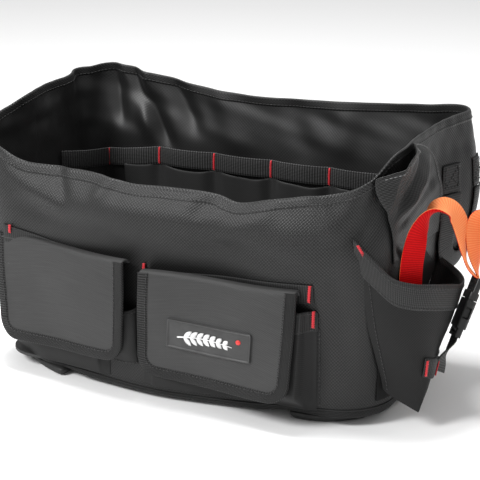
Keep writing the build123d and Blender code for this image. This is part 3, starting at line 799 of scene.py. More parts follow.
def ring(height, out=0.0):
    """One row of points round the bag, from the middle of the left end and back to it."""
    parts = []
    for side, start, end, columns in WAY_ROUND:
        share = np.linspace(start, end, columns, endpoint=False)
        parts.append(bag(side, share, height(side, share), out))
    row = np.concatenate(parts)
    return np.vstack([row, row[:1]])


def at_level(level):
    """A height between the base seam, 0, and the rim, 1."""
    return lambda side, share: mix(seam_z(side, share), rim_z(side, share), level)


def below_rim(down):
    return lambda side, share: rim_z(side, share) - down


def front_y(x, z):
    """The front wall's y at a place across and up."""
    x, z = both(x, z)
    half = half_length_at(z)
    r = np.where(x < 0, corner_radius("front_left", z), corner_radius("front_right", z))
    past = np.clip(np.abs(x) - (half - r), 0, r - 1e-3)
    across = np.sqrt(r * r - past * past)
    y = -(HALF_DEPTH - r) - across
    return y - swell(np.stack([x, y, z], -1)) * across / r


def right_end(y, z, out):
    """Points of the right end, by y from its front edge to the back corner instead of by share."""
    return bag("right", np.interp(y, (-95, HALF_DEPTH), (0.05, 1.0)), z, out)


def make_walls():
    """The four walls as one ring of cloth, lapped in the middle of the left end."""
    levels = np.linspace(0, 1, WALL_ROWS)
    once_round = np.array([ring(at_level(level))[:-1] for level in levels])
    lap = np.array([ring(at_level(level), 0.5)[:3] for level in levels])
    obj = add_grid("bag_wall_cloth", np.concatenate([once_round, lap], axis=1), COARSE, thickness=SKIN)
    line_inside(obj)
    belongs(obj, "bag", "coarse_polyester", "front_wall", "right_wall", "back_wall", "left_wall")


def make_rim_hem():
    """The cloth turned over at the rim and sewn down, all the way round."""
    rows = [ring(below_rim(down), lift) for down, lift in HEM_PROFILE[::-1]]
    belongs(add_grid("rim_hem", rows, COARSE), "bag", "coarse_polyester")
    sewn, paths = below_rim(HEM - 2), []
    for lift, facing in ((0.75, 1), (-2.5, -1)):
        path = ring(sewn, lift)
        paths.append((path, (ring(sewn, lift + 1) - path) * facing))
    add_stitches("rim_stitching", "bag", paths, DARK_THREAD)


def floor_z(points):
    """The underside: up on the feet, sagging between them."""
    x, y = np.abs(points[..., 0]), np.abs(points[..., 1])
    on_feet, sag = 8.0, 4.6
    clear = 1 - (1 - smooth(122 - x, 0, 30)) * (1 - smooth(37 - y, 0, 25))
    return on_feet - sag * clear


def make_base():
    """The skin under the bag: from the base seam round the lower edge and flat underneath."""
    seam, low = ring(seam_z, -0.3), ring(seam_z)
    low[:, 2] -= 6.0
    bottom = floor_z(low)
    rows = [seam + np.array((0, 0, 1.5)), seam]
    for share, inset in ((0.35, 0.1), (0.7, 0.9), (0.92, 2.6), (1.0, 6.0)):
        row = low * np.array((1, 1, 0)) * (1 - inset / np.linalg.norm(low[:, :2], axis=1))[:, None]
        row[:, 2] = mix(seam[:, 2], bottom, share)
        rows.append(row)
    for scale in (0.9, 0.75, 0.5, 0.25, 0.02):
        row = low * np.array((scale, scale, 0))
        row[:, 2] = floor_z(row)
        rows.append(row)
    obj = add_grid("base_skin", rows[::-1], BASE, thickness=1.2)
    belongs(obj, "bag", "coarse_polyester", "base_panel")
    cord = ring(seam_z)
    bead = add_tubes("base_piping_cord", [(cord, np.full(len(cord), 0.8), (0, 0, 1))], BASE)
    belongs(bead, "bag", "binding_tape", "base_piping")


def rounded_outline(shape):
    """An outline at even steps, with its corners rounded off."""
    path = resample(shape, 3.0)[:-1]
    for _ in range(6):
        path = (np.roll(path, 1, 0) + path + np.roll(path, -1, 0)) / 3
    return path


def make_feet():
    """A rounded rubber pad under each corner."""
    for name, (shape, flip) in FEET.items():
        path = rounded_outline(np.array(shape + shape[:1], float) * (1, flip))
        middle = path.mean(axis=0)
        reach = np.linalg.norm(path - middle, axis=1)[:, None]
        rows = []
        for z, share, inset in FOOT_PROFILE:
            xy = middle + (path - middle) * share * (1 - inset / reach)
            rows.append(np.column_stack([xy, np.full(len(xy), z)]))
        grid = np.array(rows)
        ahead = np.roll(path, -1, 0)
        if np.sum(path[:, 0] * ahead[:, 1] - path[:, 1] * ahead[:, 0]) < 0:
            grid = grid[:, ::-1]
        belongs(add_grid("foot_%s_pad" % name, grid, FOOT, closed=True), "bag", "foot_rubber", "foot_" + name)


# ------------------------------------------------------------------ flaps

def flap_corners(side):
    return [np.array(c, float) for c in FLAPS[side]]


def flap_size(side):
    tl, tr, br, bl = flap_corners(side)
    return np.linalg.norm(tr - tl), (np.linalg.norm(bl - tl) + np.linalg.norm(br - tr)) / 2


def flap_surface(side):
    """The flap's face, over millimetres from its left edge and up from its top edge, so below 0."""
    tl, tr, br, bl = flap_corners(side)
    width, height = flap_size(side)

    def surface(a, up):
        a, d = both(a, -np.asarray(up, float))
        u, w = (a / width)[..., None], (d / height)[..., None]
        point = mix(mix(tl, tr, u), mix(bl, br, u), w)
        belly = np.sin(np.pi * np.clip(u, 0, 1)) * np.sin(np.pi * np.clip(w, 0, 1) ** 0.8)
        point[..., 1] -= 3.0 * belly[..., 0]
        point[..., 1] -= 1.1 * np.sin(a / 17.0 + d / 31.0) * np.sin(d / 23.0)
        point[..., 2] += 1.2 * np.sin(a / 26.0) * (1 - w[..., 0])
        return point

    return surface


def make_flap(side):
    """A flap's panel: back from its fold to the header, over the fold, and down to its round corners."""
    surface = flap_surface(side)
    width, height = flap_size(side)
    shares = np.linspace(0, 1, FLAP_COLUMNS)
    edge = surface(shares * width, 0.0)
    rows = [edge + np.array((0, ROLL + run, 0)) for run in FLAP_START]
    for angle in np.linspace(0, np.pi / 2, 6)[:-1]:
        rows.append(edge + ROLL * np.array((0, 1 - np.sin(angle), np.cos(angle) - 1)))
    corner = height - FLAP_R + FLAP_R * np.sin(np.linspace(0, np.pi / 2, 12))[1:]
    for d in np.concatenate([np.linspace(ROLL, height - FLAP_R, 22), corner]):
        past = np.clip(d - (height - FLAP_R), 0, FLAP_R)
        inset = FLAP_R - np.sqrt(np.clip(FLAP_R ** 2 - past ** 2, 0, None))
        rows.append(surface(inset + shares * (width - 2 * inset), -d))
    panel = add_grid("flap_%s_cloth" % side, rows[::-1], FINE, thickness=2.2)
    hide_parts("flap_" + side)
    fold = edge[FLAP_COLUMNS // 2]
    place(fold + np.array((0, ROLL + 5, 0)))
    place(fold + np.array((0, 0, -ROLL - 4)))
    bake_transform(panel)
    make_flap_header(side, edge, width)
    make_binding(side, surface, width, height)


def make_flap_header(side, edge, width):
    """The ledge of cloth from the wall to the flap's fold."""
    wall_line = np.column_stack([edge[:, 0], front_y(edge[:, 0], edge[:, 2]) - 1.0, edge[:, 2] - 5.5])
    front_line = edge + np.array((0, ROLL + 4.5, -0.4))
    rows = [mix(wall_line, front_line, t) + np.array((0, 0, 1.4 * np.sin(np.pi * t)))
            for t in np.linspace(0, 1, 12)]
    strip = add_grid("flap_header_%s_cloth" % side, rows, FINE, thickness=1.8, offset=1.0)
    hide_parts("flap_header_" + side)
    middle = wall_line[FLAP_COLUMNS // 2]
    place(middle)
    place(middle + np.array((0, -6, 0)))
    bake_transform(strip)


def binding_path(width, height):
    """Outer and inner edges of the tape, down the left side, round the bottom and up the right."""
    down = np.linspace(1.0, height - FLAP_R, 24)
    quarter = np.linspace(np.pi, np.pi / 2, 12)
    pairs = [((-BINDING_OVER, d), (BINDING, d)) for d in down]
    corners = ((FLAP_R, quarter), (width - FLAP_R, np.pi - quarter[::-1]))
    for k, (middle, angles) in enumerate(corners):
        for angle in angles:
            at, direction = np.array((middle, height - FLAP_R)), np.array((np.cos(angle), np.sin(angle)))
            pairs.append((at + direction * (FLAP_R + BINDING_OVER), at + direction * (FLAP_R - BINDING)))
        if k == 0:
            for a in np.linspace(FLAP_R, width - FLAP_R, 30)[1:-1]:
                pairs.append(((a, height + BINDING_OVER), (a, height - BINDING)))
    pairs += [((width + BINDING_OVER, d), (width - BINDING, d)) for d in down[::-1][1:]]
    return np.array(pairs, float).transpose(1, 0, 2)


def make_binding(side, surface, width, height):
    """Tape folded round the flap's edge, sewn near its inner side."""
    outer, inner = binding_path(width, height)

    def tape(share, up):
        at = mix(inner, outer, share)
        return lifted(surface, at[:, 0], -at[:, 1], up)

    grid = np.stack([tape(share, up) for share, up in BINDING_PROFILE], 1)
    obj = add_grid("flap_binding_%s_tape" % side, grid, TAPE)
    belongs(obj, "flap_" + side, "binding_tape", "flap_binding_" + side)
    low, high = tape(0.14, 1.15), tape(0.14, 2.15)
    add_stitches("flap_stitching_" + side, "flap_" + side, [(low, high - low)], DARK_THREAD)


def make_touch_tapes(side):
    """Hook tape behind the flap and loop tape on the pocket's front."""
    surface = flap_surface(side)
    width, height = flap_size(side)
    a = np.linspace(width / 2 - 30, width / 2 + 30, 14)
    up = -np.linspace(height - 34, height - 12, 8)
    hook, loop = rows_of(surface, a, up, -2.6), rows_of(surface, a, up, -5.6)[::-1]
    for name, grid, body in (("flap_hook_" + side, hook, "flap_" + side),
                             ("pocket_loop_" + side, loop, "bag")):
        tape = add_grid(name + "_tape", grid, TOUCH, thickness=1.2, round_off=False)
        belongs(tape, body, "touch_tape", name)


# ------------------------------------------------------------------ badge

def on_badge(a, d, up):
    """A place on the badge, by millimetres from its left edge, below its top edge and up from the flap."""
    return lifted(flap_surface("right"), BADGE_AT[0] + a, -(BADGE_AT[1] + d), up)


def eased(count):
    """Shares from 0 to 1, closer together near both ends."""
    return (1 - np.cos(np.linspace(0, np.pi, count))) / 2


def make_badge():
    """A rubber patch with a raised frame and a plain raised sprig with one berry."""
    width, height = BADGE_SIZE
    down = eased(46) * height
    near = np.clip(BADGE_CORNER - np.minimum(down, height - down), 0, BADGE_CORNER)
    inset = BADGE_CORNER - np.sqrt(BADGE_CORNER ** 2 - near ** 2)
    across = inset[:, None] + eased(90)[None] * (width - 2 * inset)[:, None]
    across, down = both(across, down[:, None])
    edge = np.minimum(np.minimum(across, width - across), np.minimum(down, height - down))
    lift = 0.05 + 2.3 * smooth(edge, 0.0, 0.7) - 1.2 * smooth(edge, 1.7, 2.3)
    patch = add_grid("badge_patch", on_badge(across, down, lift), RUBBER, round_off=False)
    belongs(patch, "flap_right", "badge_rubber", "badge")
    make_sprig(height)
    rings, turn = [], np.linspace(0, 2 * np.pi, 20, endpoint=False)
    for angle in np.linspace(0.15, np.pi / 2 - 0.05, 6):
        r = BERRY_R * np.cos(angle)
        a, d = BERRY_AT[0] + r * np.cos(turn), BERRY_AT[1] + r * np.sin(turn)
        rings.append(on_badge(a, d, 1.0 + 1.6 * np.sin(angle)))
    belongs(add_grid("badge_berry_dot", rings, BERRY, closed=True), "flap_right", "badge_rubber")


def make_sprig(height):
    """A bent stem with seven pairs of leaves that get shorter towards its tip."""
    along = np.linspace(0, 1, 26)
    stem = np.stack([mix(12, 70, along), height / 2 + 2.5 - 3.5 * np.sin(np.pi * along * 0.9)], 1)
    share = np.linspace(0, 1, 7)[:, None]
    half = 2.3 * np.sin(np.pi * share) ** 0.8
    points, faces = [], []
    for k in range(LEAF_PAIRS):
        for sign in (-1, 1):
            lean = np.array((0.75, 0.66 * sign))
            middle = stem[3 + 3 * k] + lean * (11.0 - 0.7 * k) * share
            out = np.array((-lean[1], lean[0])) * half
            for row in np.stack([middle - out, middle, middle + out], 1):
                points.extend(on_badge(row[:, 0], row[:, 1], (1.3, 1.9, 1.3)))
            faces += grid_faces(7, 3, offset=len(points) - 21)
    leaves = add_mesh("badge_sprig_leaves", np.array(points), faces, MARK)
    thicken(leaves, 0.6, 0.0)
    belongs(leaves, "flap_right", "badge_rubber")
    tube = (on_badge(stem[:, 0], stem[:, 1], 1.5), mix(0.9, 0.45, along), (0, -1, 0))
    belongs(add_tubes("badge_sprig_stem", [tube], MARK), "flap_right", "badge_rubber")


# ------------------------------------------------------------------ pockets

def pocket_front_y(side, x, z):
    """A pocket's front, a little behind its flap, and tucked in at its foot."""
    tl, tr, br, bl = flap_corners(side)
    w = np.clip((tl[2] - z) / (tl[2] - bl[2]), 0, 1.1)
    left, right = mix(tl, bl, w[..., None]), mix(tr, br, w[..., None])
    u = (x - left[..., 0]) / (right[..., 0] - left[..., 0])
    y = mix(left[..., 1], right[..., 1], u) + 7.0
    near_wall = front_y(x, z) - 3.0
    return mix(near_wall, np.minimum(y, near_wall), smooth(z, POCKET_Z[0] - TUCKED, POCKET_Z[0] + 2))


def pocket_surface(side, grow=0.0):
    """A pocket over its share from left to right and its height. The first and last tenths are gussets."""
    x0, x1 = POCKETS[side]
    left, right = x0 + GUSSET, x1 - GUSSET
    stops = (0.0, 0.05, 0.1, 0.9, 0.95, 1.0)

    def gusset(root, front, z, t):
        return mix(front_y(root + 0 * z, z) - 0.5, pocket_front_y(side, front + 0 * z, z), smooth(t, 0, 1))

    def surface(share, z):
        share, z = both(share, z)
        x = np.interp(share, stops, (x0, x0 + GUSSET * 0.75, left, right, x1 - GUSSET * 0.75, x1))
        y = pocket_front_y(side, x, z)
        t_left, t_right = np.clip(share / 0.1, 0, 1), np.clip((1 - share) / 0.1, 0, 1)
        y = np.where(share < 0.1, gusset(x0, left, z, t_left), y)
        y = np.where(share > 0.9, gusset(x1, right, z, t_right), y)
        normal_x = np.where(share < 0.1, -(1 - t_left), np.where(share > 0.9, 1 - t_right, 0))
        return np.stack([x + grow * normal_x, y - grow * (1 - 0.5 * np.abs(normal_x)), z], -1)

    return surface


def make_pocket(side):
    """A bellows pocket with webbing round its mouth."""
    low, mouth = POCKET_Z
    middle = np.linspace(0.1, 0.9, 34)[1:-1]
    shares = np.concatenate([np.linspace(0, 0.1, 9), middle, np.linspace(0.9, 1, 9)])
    grid = rows_of(pocket_surface(side), shares, np.linspace(low - TUCKED, mouth, 36))
    obj = add_grid("pocket_%s_cloth" % side, grid, POCKET, thickness=1.4)
    belongs(obj, "bag", "pocket_fabric", "pocket_" + side)
    grid = rows_of(pocket_surface(side, 1.2), shares, np.linspace(mouth - BAND, mouth + 0.6, 8))
    band = add_grid("pocket_mouth_webbing_" + side, grid, WEBBING, thickness=1.5, offset=0.0, turned=True)
    belongs(band, "bag", "black_webbing", "pocket_mouth_band_" + side)
    sewn = pocket_surface(side, 2.0)
    along = np.linspace(0.02, 0.98, 160)
    paths = [surface_path(sewn, along, mouth - down, 0.1) for down in (2.0, BAND - 2.0)]
    add_stitches("pocket_stitching_" + side, "bag", paths, DARK_THREAD)


def slot_surface(turn, level):
    """The slot pocket over its half turn and its level, with a mouth that dips in the middle."""
    turn, level = both(turn, level)
    x = SLOT_X + SLOT_HALF * np.sin(turn)
    z = mix(SLOT_Z[0], SLOT_Z[1] - 6.5 * np.cos(turn), level)
    deep = SLOT_OUT * np.cos(turn) * (0.55 + 0.45 * smooth(level, 0, 0.3))
    return np.stack([x, front_y(x, z) - deep - 0.8, z], -1)


def make_slot_pocket():
    grid = rows_of(slot_surface, np.linspace(-np.pi / 2, np.pi / 2, 26), np.linspace(0, 1, 22))
    obj = add_grid("slot_pocket_cloth", grid, POCKET, thickness=1.4)
    belongs(obj, "bag", "pocket_fabric", "slot_pocket")
    paths = [surface_path(slot_surface, np.linspace(-1.4, 1.4, 60), level, 0.4) for level in (0.03, 0.94)]
    add_stitches("slot_pocket_stitching", "bag", paths, DARK_THREAD, pitch=3.6)


def make_front_band(side):
    """Webbing sewn on the wall above a pocket."""
    (x0, x1), (z0, z1) = FRONT_BANDS[side]
    x = np.linspace(x0, x1, 40)
    rows = []
    for up in np.linspace(0, BAND, 6):
        z = mix(z0, z1, (x - x0) / (x1 - x0)) + up
        rows.append(np.stack([x, front_y(x, z) - 1.2, z], -1))
    band = add_grid("front_webbing_" + side, rows, WEBBING, thickness=1.6, offset=0.0, turned=True)
    belongs(band, "bag", "black_webbing", "front_band_" + side)


def make_front_tacks():
    """Red bar tacks on the front webbing and the right pocket's mouth, and a row of stitches beside it."""
    tubes = []
    for x, low, high in FRONT_TACKS:
        z = (low + high) / 2
        tubes += bartack((x, float(front_y(x, z)) - 2.6, z), (0.05, 0, 1), (0, -1, 0), high - low, 3.2)
    point = pocket_surface("right", 2.4)(0.975, 108.0)
    tubes += bartack(point + np.array((0.8, -0.6, 0)), (0.02, 0, 1), (0.6, -1, 0), 16, 3.2)
    belongs(add_tubes("front_bar_tacks", tubes, RED_THREAD), "bag", "red_thread", "bartacks_front")
    x, z = both(POCKETS["right"][1] + 2.0, np.linspace(20, 112, 60))
    path = np.stack([x, front_y(x, z) - 0.5, z], -1)
    add_stitches("pocket_seam_stitching", "bag", [(path, np.array((0.1, -1, 0)))], DARK_THREAD)


# ------------------------------------------------------------------ inside

def tack_place(side, at):
    """A place on the lining at the inner band, by x on the back or y on an end, and the way inwards."""
    share = np.linspace(0, 1, 600)
    points, facing = nominal(side, share, 182.0)
    k = np.argmin(np.abs(points[:, 0 if side in LONG_SIDES else 1] - at))
    return bag(side, share[k], elastic_z(points[k]), -(SKIN + 2.0)), -facing[k]


def elastic_z(point):
    """The height of the band's middle: it dips at the back left corner."""
    return ELASTIC_Z - 9.0 * bell(point[..., 0] + 200, 0, 42) * smooth(point[..., 1], 60, 105)


def make_inner_band():
    """Elastic tacked to the lining and standing off in loops between the tacks."""
    tacks = [tack_place(side, at) for side, at in INNER_TACKS]
    columns = []
    for (start, inward), (end, next_inward) in zip(tacks[:-1], tacks[1:]):
        for t in np.linspace(0, 1, 14, endpoint=False):
            facing = unit(mix(inward, next_inward, t))
            columns.append((mix(start, end, t) + facing * LOOP_GAP * np.sin(np.pi * t) ** 0.7, facing))
    columns.append(tacks[-1])
    rows = [[middle + facing * lift + np.array((0, 0, up)) for middle, facing in columns]
            for up, lift in ELASTIC_PROFILE]
    band = add_grid("inner_elastic", rows, ELASTIC, thickness=1.3, offset=0.0, turned=True)
    belongs(band, "bag", "elastic", "inner_band")
    tubes = []
    for centre, facing in tacks[1:-1]:
        tubes += bartack(centre + facing * 2.0, (0.03, 0, 1), facing, 18, 2.4)
    belongs(add_tubes("inner_bar_tacks", tubes, RED_THREAD), "bag", "red_thread", "bartacks_inner")


def make_inner_panel():
    """The low pocket cloth on the inside of the back wall, sewn down in channels under the tacks."""
    shares = np.linspace(0.1, 0.9, 110)
    x = nominal("back", shares, 120.0)[0][:, 0]
    near = np.min(np.abs(x[:, None] - np.array(TACKS_X)), axis=1)
    rows = []
    for level in np.linspace(0, 1, 30):
        puff = (1 - np.exp(-((near / 9.0) ** 2))) * (1.5 + 6.5 * level)
        wrinkle = 0.9 * np.sin(x / 5.0 + 3 * level) * level
        z = mix(*PANEL_Z, level) + 1.5 * np.sin(x / 11.0) * level
        rows.append(bag("back", shares, z, -(SKIN + 0.9 + puff + wrinkle)))
    obj = add_grid("inner_pocket_cloth", rows, PANEL, thickness=1.2, offset=0.0)
    belongs(obj, "bag", "pocket_fabric", "inner_pocket_panel")


# ------------------------------------------------------------------ corner lap

def lap_surface(share, level):
    """The lap over its share from the front to its free edge and its level up to the rim."""
    share, level = both(share, level)
    z = mix(160.0, curve(mix(-100.0, -44.0, share), LAP_TOP), level)
    y = mix(mix(-80.0, -100.0, level), curve(z, LAP_EDGE), share)
    high = smooth(z, 196, 222)
    stand = (3 + 8.0 * high) * np.sin(np.pi * share ** 0.8) * smooth(level, 0.05, 0.4)
    up, back = z - LAP_ROOT[1], y - LAP_ROOT[0]
    turn, reach = np.arctan2(up, back), np.hypot(up, back)
    fold = np.sin(turn * 10.0 + 0.8) + 0.6 * np.sin(turn * 19.0) + 0.3 * np.sin(turn * 37.0 + 1.0)
    fold *= smooth(reach, 8, 36) * (1 - smooth(share, 0.8, 1.0)) * (0.3 + 0.7 * high)
    x = right_end(y, z, 0.0)[..., 0] + 1.8 + stand + 2 * level + 3.2 * fold
    return np.stack([x, y, z], -1)


def make_corner_lap():
    """The loose corner of the front cloth, turned out over the front of the right end."""
    grid = rows_of(lap_surface, np.linspace(0, 1, 48), np.linspace(0, 1, 40))
    obj = add_grid("corner_lap_cloth", grid, COARSE, thickness=1.4)
    belongs(obj, "bag", "coarse_polyester")
    paths = [surface_path(lap_surface, 0.955, np.linspace(0.02, 0.97, 60), 0.4),
             surface_path(lap_surface, np.linspace(0.05, 0.95, 60), 0.965, 0.4)]
    add_stitches("corner_lap_stitching", "bag", paths, PALE_THREAD)


# ------------------------------------------------------------------ holster

def holster_surface(turn, level):
    """The holster over its turn, -90 to 90 degrees from front to back, and its level up to the mouth."""
    turn, level = both(turn, level)
    front = turn < 0

    def section(z):
        s = (z - HOLSTER_LOW[0]) / (HOLSTER_HIGH[0] - HOLSTER_LOW[0])
        cx, cy, hx, hy = (mix(a, b, s) for a, b in zip(HOLSTER_LOW[1:], HOLSTER_HIGH[1:]))
        pinch = 0.3 + 0.7 * smooth(level, -0.02, 0.16)
        root_x = np.where(front, curve(z, HOLSTER_FRONT_X), half_length_at(z) + 0.8)
        root_y = np.where(front, curve(z, HOLSTER_FRONT_Y), cy + hy)
        cos = np.clip(np.cos(turn), 0, None)
        x = root_x + (cx + hx - root_x) * cos ** np.where(front, 0.95, 0.85)
        return x, cy + (root_y - cy) * np.abs(np.sin(turn)) * mix(pinch, 1, front)

    # the mouth's height depends on x and y, and they depend on it, so it is found step by step
    z_mouth = 150.0 + 0 * turn
    for _ in range(12):
        x, y = section(z_mouth)
        slope = MOUTH_SLOPE[0] * (x - MOUTH_AT[0]) + MOUTH_SLOPE[1] * (y - MOUTH_AT[1])
        z_mouth = MOUTH_AT[2] + slope - curve(np.degrees(turn), MOUTH_DIP)
    z_low = mix(*HOLSTER_END_Z, np.clip(np.cos(turn), 0, 1) ** 0.7)
    z = mix(z_low, z_mouth, level)
    x, y = section(z)
    sag = 2.5 * np.sin(level * 9 + turn * 2.2) * np.sin(np.pi * level) * np.clip(np.cos(turn), 0, 1)
    return np.stack([x + sag * 0.6, y, z], -1)


def make_holster():
    grid = rows_of(holster_surface, HOLSTER_TURNS, np.linspace(0, 1, 44))
    obj = add_grid("holster_cloth", grid, HOLSTER, thickness=1.6)
    line_inside(obj)
    belongs(obj, "bag", "holster_fabric", "holster_panel")


def make_holster_shade_sheet():
    """A near-black sheet on the wall behind the holster, between the holster's two seams: painted shade for
    the holster's dark inside.
    """
    foot, mouth = HOLSTER_LOW, HOLSTER_HIGH
    rows = []
    for z in np.linspace(24, 172, 44):
        seam_y = mix(foot[2] + foot[4], mouth[2] + mouth[4], (z - foot[0]) / (mouth[0] - foot[0])) - 1
        y = np.linspace(mix(-93, -62, smooth(z, 80, 160)), seam_y - 2.4 * max(z - 126, 0), 60)
        rows.append(right_end(y, z, 0.6))
    shade_sheet = add_grid("holster_shade_sheet", rows, HOLSTER_PAINTED_SHADE, thickness=0.8, offset=1.0)
    belongs(shade_sheet, "bag", "holster_fabric")


def make_holster_mouth():
    """Webbing folded over the mouth, and the stitches of the mouth and of both side seams."""
    rows = [lifted(holster_surface, HOLSTER_TURNS, level, lift) for level, lift in HOLSTER_HEM]
    belongs(add_grid("holster_hem", rows, HOLSTER_BAND, turned=True), "bag", "holster_fabric")
    round_it, up_it = np.linspace(-1.5, 1.5, 160), np.linspace(0.03, 0.93, 60)
    paths = [surface_path(holster_surface, round_it, level, 1.1) for level in (0.815, 0.97)]
    paths += [surface_path(holster_surface, turn, up_it, 0.4) for turn in (-1.45, 1.45)]
    add_stitches("holster_stitching", "bag", paths, DARK_THREAD)


def make_holster_tab():
    """A short band of webbing low on the holster, and the holster's red bar tacks."""
    grid = rows_of(holster_surface, np.linspace(*TAB_TURNS, 18), np.linspace(*TAB_LEVELS, 6), 2.6)
    tab = add_grid("holster_tab", grid, WEBBING, thickness=1.8, turned=True)
    belongs(tab, "bag", "black_webbing")
    tacks, level = [], sum(TAB_LEVELS) / 2
    for turn in TAB_TACKS:
        point, above = (lifted(holster_surface, turn, level, lift) for lift in (2.9, 4.0))
        up = holster_surface(turn, level + 0.05) - holster_surface(turn, level)
        tacks += bartack(point, up, above - point, 15, 2.8)
    tacks += bartack(lifted(holster_surface, -1.5, 0.985, 1.4), (0.35, 0.35, -0.85), (0.3, -1, 0.2), 12, 3.0)
    belongs(add_tubes("holster_bar_tacks", tacks, RED_THREAD), "bag", "red_thread")


# ------------------------------------------------------------------ strap and buckle

def make_straps():
    """The strap's loop and tail, sewn to the plug, and the short webbing that holds the socket."""
    low, high = np.array(BUCKLE_LOW), np.array(BUCKLE_HIGH)
    axis, across = unit(high - low), np.array(BUCKLE_ACROSS)
    across = unit(across - axis * (across @ axis))
    away = np.cross(axis, across)

    def on_buckle(z, out):
        return low + axis * z + away * out

    # loop and tail: the lit orange copy outside, and the dark red painted-shade copy inside
    stations = STRAP + ((on_buckle(53.0, 3.5), across),)
    loop = add_strap("strap_loop_webbing", stations, ORANGE_LIT_FACE, inner=WEBBING_SHADED_FACE)
    place(STRAP_TOP)
    place(on_buckle(54, 3.5))
    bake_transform(loop)
    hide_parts("strap_loop")
    stations = TAIL + ((on_buckle(49.0, -2.0), across),)
    tail = add_strap("strap_tail_webbing", stations, ORANGE_LIT_FACE, inner=WEBBING_SHADED_FACE, steps=10)
    belongs(tail, "buckle_male", "orange_webbing", "strap_tail")
    stations = BUCKLE_WEB + ((on_buckle(-13.0, -0.5), across), (on_buckle(-2.0, 0.0), across))
    belongs(add_strap("buckle_webbing", stations, WEBBING), "bag", "black_webbing", "buckle_web")


# ------------------------------------------------------------------ handles

def on_end(sign, y, z, out):
    """A place out from an end wall, by its y and z."""
    points = bag("right" if sign > 0 else "left", np.linspace(0, 1, 400), float(z), out)
    points = points[np.argsort(points[:, 1])]
    return np.array([np.interp(y, points[:, 1], column) for column in points.T])


def webbing_on_end(name, sign, stations):
    """Webbing on an end wall: each station is (y, z), the turn of its width, its width and how far out."""
    rows, cloth = [], []
    run = run_of(np.array([centre for centre, _, _, _ in stations]))
    for ((y, z), turn, width, out), at in zip(stations, run):
        rows.append([on_end(sign, y + p * width * np.cos(turn), z + p * width * np.sin(turn),
                            out + q * WEB_T / 2) for p, q in HANDLE_PROFILE])
        cloth.append([(p * width, at) for p, _ in HANDLE_PROFILE])
    grid = np.array(rows)
    if sign < 0:
        grid = grid[:, ::-1]
    rows, columns = grid.shape[:2]
    obj = add_mesh(name, grid, tube_faces(rows, columns), WEBBING, np.array(cloth))
    subdivide(obj)
    sharpen(obj.data, [(start + c, start + (c + 1) % columns)
                       for start in (0, (rows - 1) * columns) for c in range(columns)])
    return obj


def make_handle(name, sign):
    """A U of webbing that hangs from two sewn patches, narrower where it is gripped."""
    low, high = HANDLE_Z
    y0, y1 = HANDLE_Y[0] + WEB / 2, HANDLE_Y[1] - WEB / 2
    middle, radius = (y0 + y1) / 2, (y1 - y0) / 2
    down = np.linspace(high, low + radius + 4, 9)
    stations = [((y0, z), 0.0, WEB, 2.2) for z in down]
    for angle in np.linspace(0, np.pi, 17)[1:-1]:
        centre = (middle - radius * np.cos(angle), low + radius * (1 - np.sin(angle)))
        stations.append((centre, angle, mix(WEB, HANDLE_GRIP, np.sin(angle)), 2.6 + 1.6 * np.sin(angle)))
    stations += [((y1, z), np.pi, WEB, 2.2) for z in down[::-1]]
    loop = webbing_on_end("handle_%s_webbing" % name, sign, stations)
    start, end = (place((sign * HANDLE_HINGE_X, middle, z)) for z in HANDLE_BEND_Z)
    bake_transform(loop)
    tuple(start)
    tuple(end)
    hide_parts("handle_" + name)
    paths = []
    for k, y in enumerate((y0, y1)):
        patch_line = [((y, z), 0.0, WEB, 1.1) for z in np.linspace(*PATCH_Z, 7)]
        patch = webbing_on_end("handle_patch_%s_%d" % (name, k + 1), sign, patch_line)
        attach(patch, "bag")
        if k == 0:
            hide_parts("handle_anchors_" + name)
        for line in PATCH_STITCHES:
            path = np.array([on_end(sign, y + a, z, 2.1) for a, z in resample(line, 1.5)])
            paths.append((path, np.array((sign, 0, 0))))
    add_stitches("handle_stitching_" + name, "bag", paths, DARK_THREAD)


# ------------------------------------------------------------------ carried-over nodes, studio and camera

def finish_nodes():
    """Materials for the CAD nodes that are shown as they are."""
    kept = {
        "base_board": BOARD, "foot_rivets": STEEL, "buckle_female": PLASTIC, "buckle_male": PLASTIC,
        "buckle_prong_front": PLASTIC, "buckle_prong_back": PLASTIC,
    }
    for name, material in kept.items():
        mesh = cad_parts[name].data
        mesh.materials.clear()
        mesh.materials.append(material)


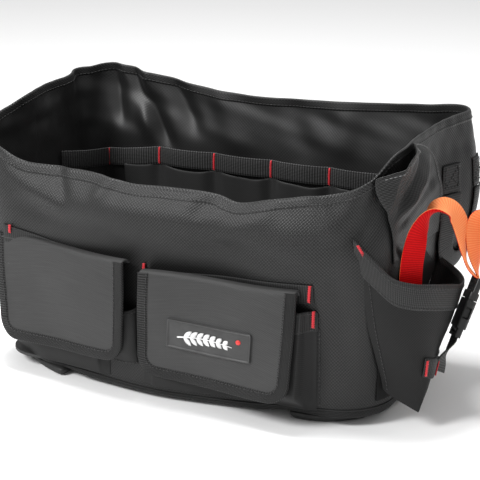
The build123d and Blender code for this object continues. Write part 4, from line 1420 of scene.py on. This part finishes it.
def add_light(name, where, aim, size, power):
    data = bpy.data.lights.new(name, "AREA")
    data.shape, data.size, data.energy = "SQUARE", size, power
    lamp = link(bpy.data.objects.new(name, data))
    lamp.location = where
    lamp.rotation_euler = (Vector(aim) - Vector(where)).to_track_quat("-Z", "Y").to_euler()


def make_studio():
    """A pale floor, an even white world and three soft lights."""
    pale = Shading("pale_floor", 0.9)
    pale.colour(pale.noise(1.5, 3.0), grey(0.9), grey(0.93))
    corners = [(x * FLOOR_HALF, y * FLOOR_HALF, 0) for x, y in ((-1, -1), (1, -1), (1, 1), (-1, 1))]
    mesh = bpy.data.meshes.new("floor")
    mesh.from_pydata(corners, [], [(0, 1, 2, 3)])
    mesh.materials.append(pale.material)
    floor = link(bpy.data.objects.new("floor", mesh))
    floor.location.z = -FLOOR_DROP
    world = bpy.data.worlds.new("studio")
    world.use_nodes = True
    background = world.node_tree.nodes["Background"].inputs
    background["Color"].default_value = (1, 1, 1, 1)
    background["Strength"].default_value = WORLD_LIGHT
    bpy.context.scene.world = world
    for name, light in LIGHTS.items():
        add_light(name, *light)


def make_camera():
    turn, tilt = np.radians(CAMERA_ROUND), np.radians(CAMERA_UP)
    back = np.array((np.sin(turn) * np.cos(tilt), -np.cos(turn) * np.cos(tilt), np.sin(tilt)))
    data = bpy.data.cameras.new("camera")
    data.sensor_width, data.lens = CAMERA_SENSOR, CAMERA_LENS
    camera = link(bpy.data.objects.new("camera", data))
    camera.location = place(CAMERA_TARGET + back * CAMERA_AWAY)
    camera.rotation_euler = Vector(back).to_track_quat("Z", "Y").to_euler()
    bpy.context.scene.camera = camera


def make_bag():
    make_walls()
    make_rim_hem()
    make_base()
    make_feet()
    for side in ("right", "left"):
        make_pocket(side)
        make_flap(side)
        make_touch_tapes(side)
        make_front_band(side)
    make_slot_pocket()
    make_badge()
    make_front_tacks()
    make_inner_band()
    make_inner_panel()
    make_corner_lap()
    make_holster()
    # painted shade inside the holster
    make_holster_shade_sheet()
    make_holster_mouth()
    make_holster_tab()
    make_straps()
    make_handle("right", 1)
    make_handle("left", -1)


bpy.context.scene.view_settings.view_transform = "Standard"
make_camera()
make_studio()
finish_nodes()
make_bag()
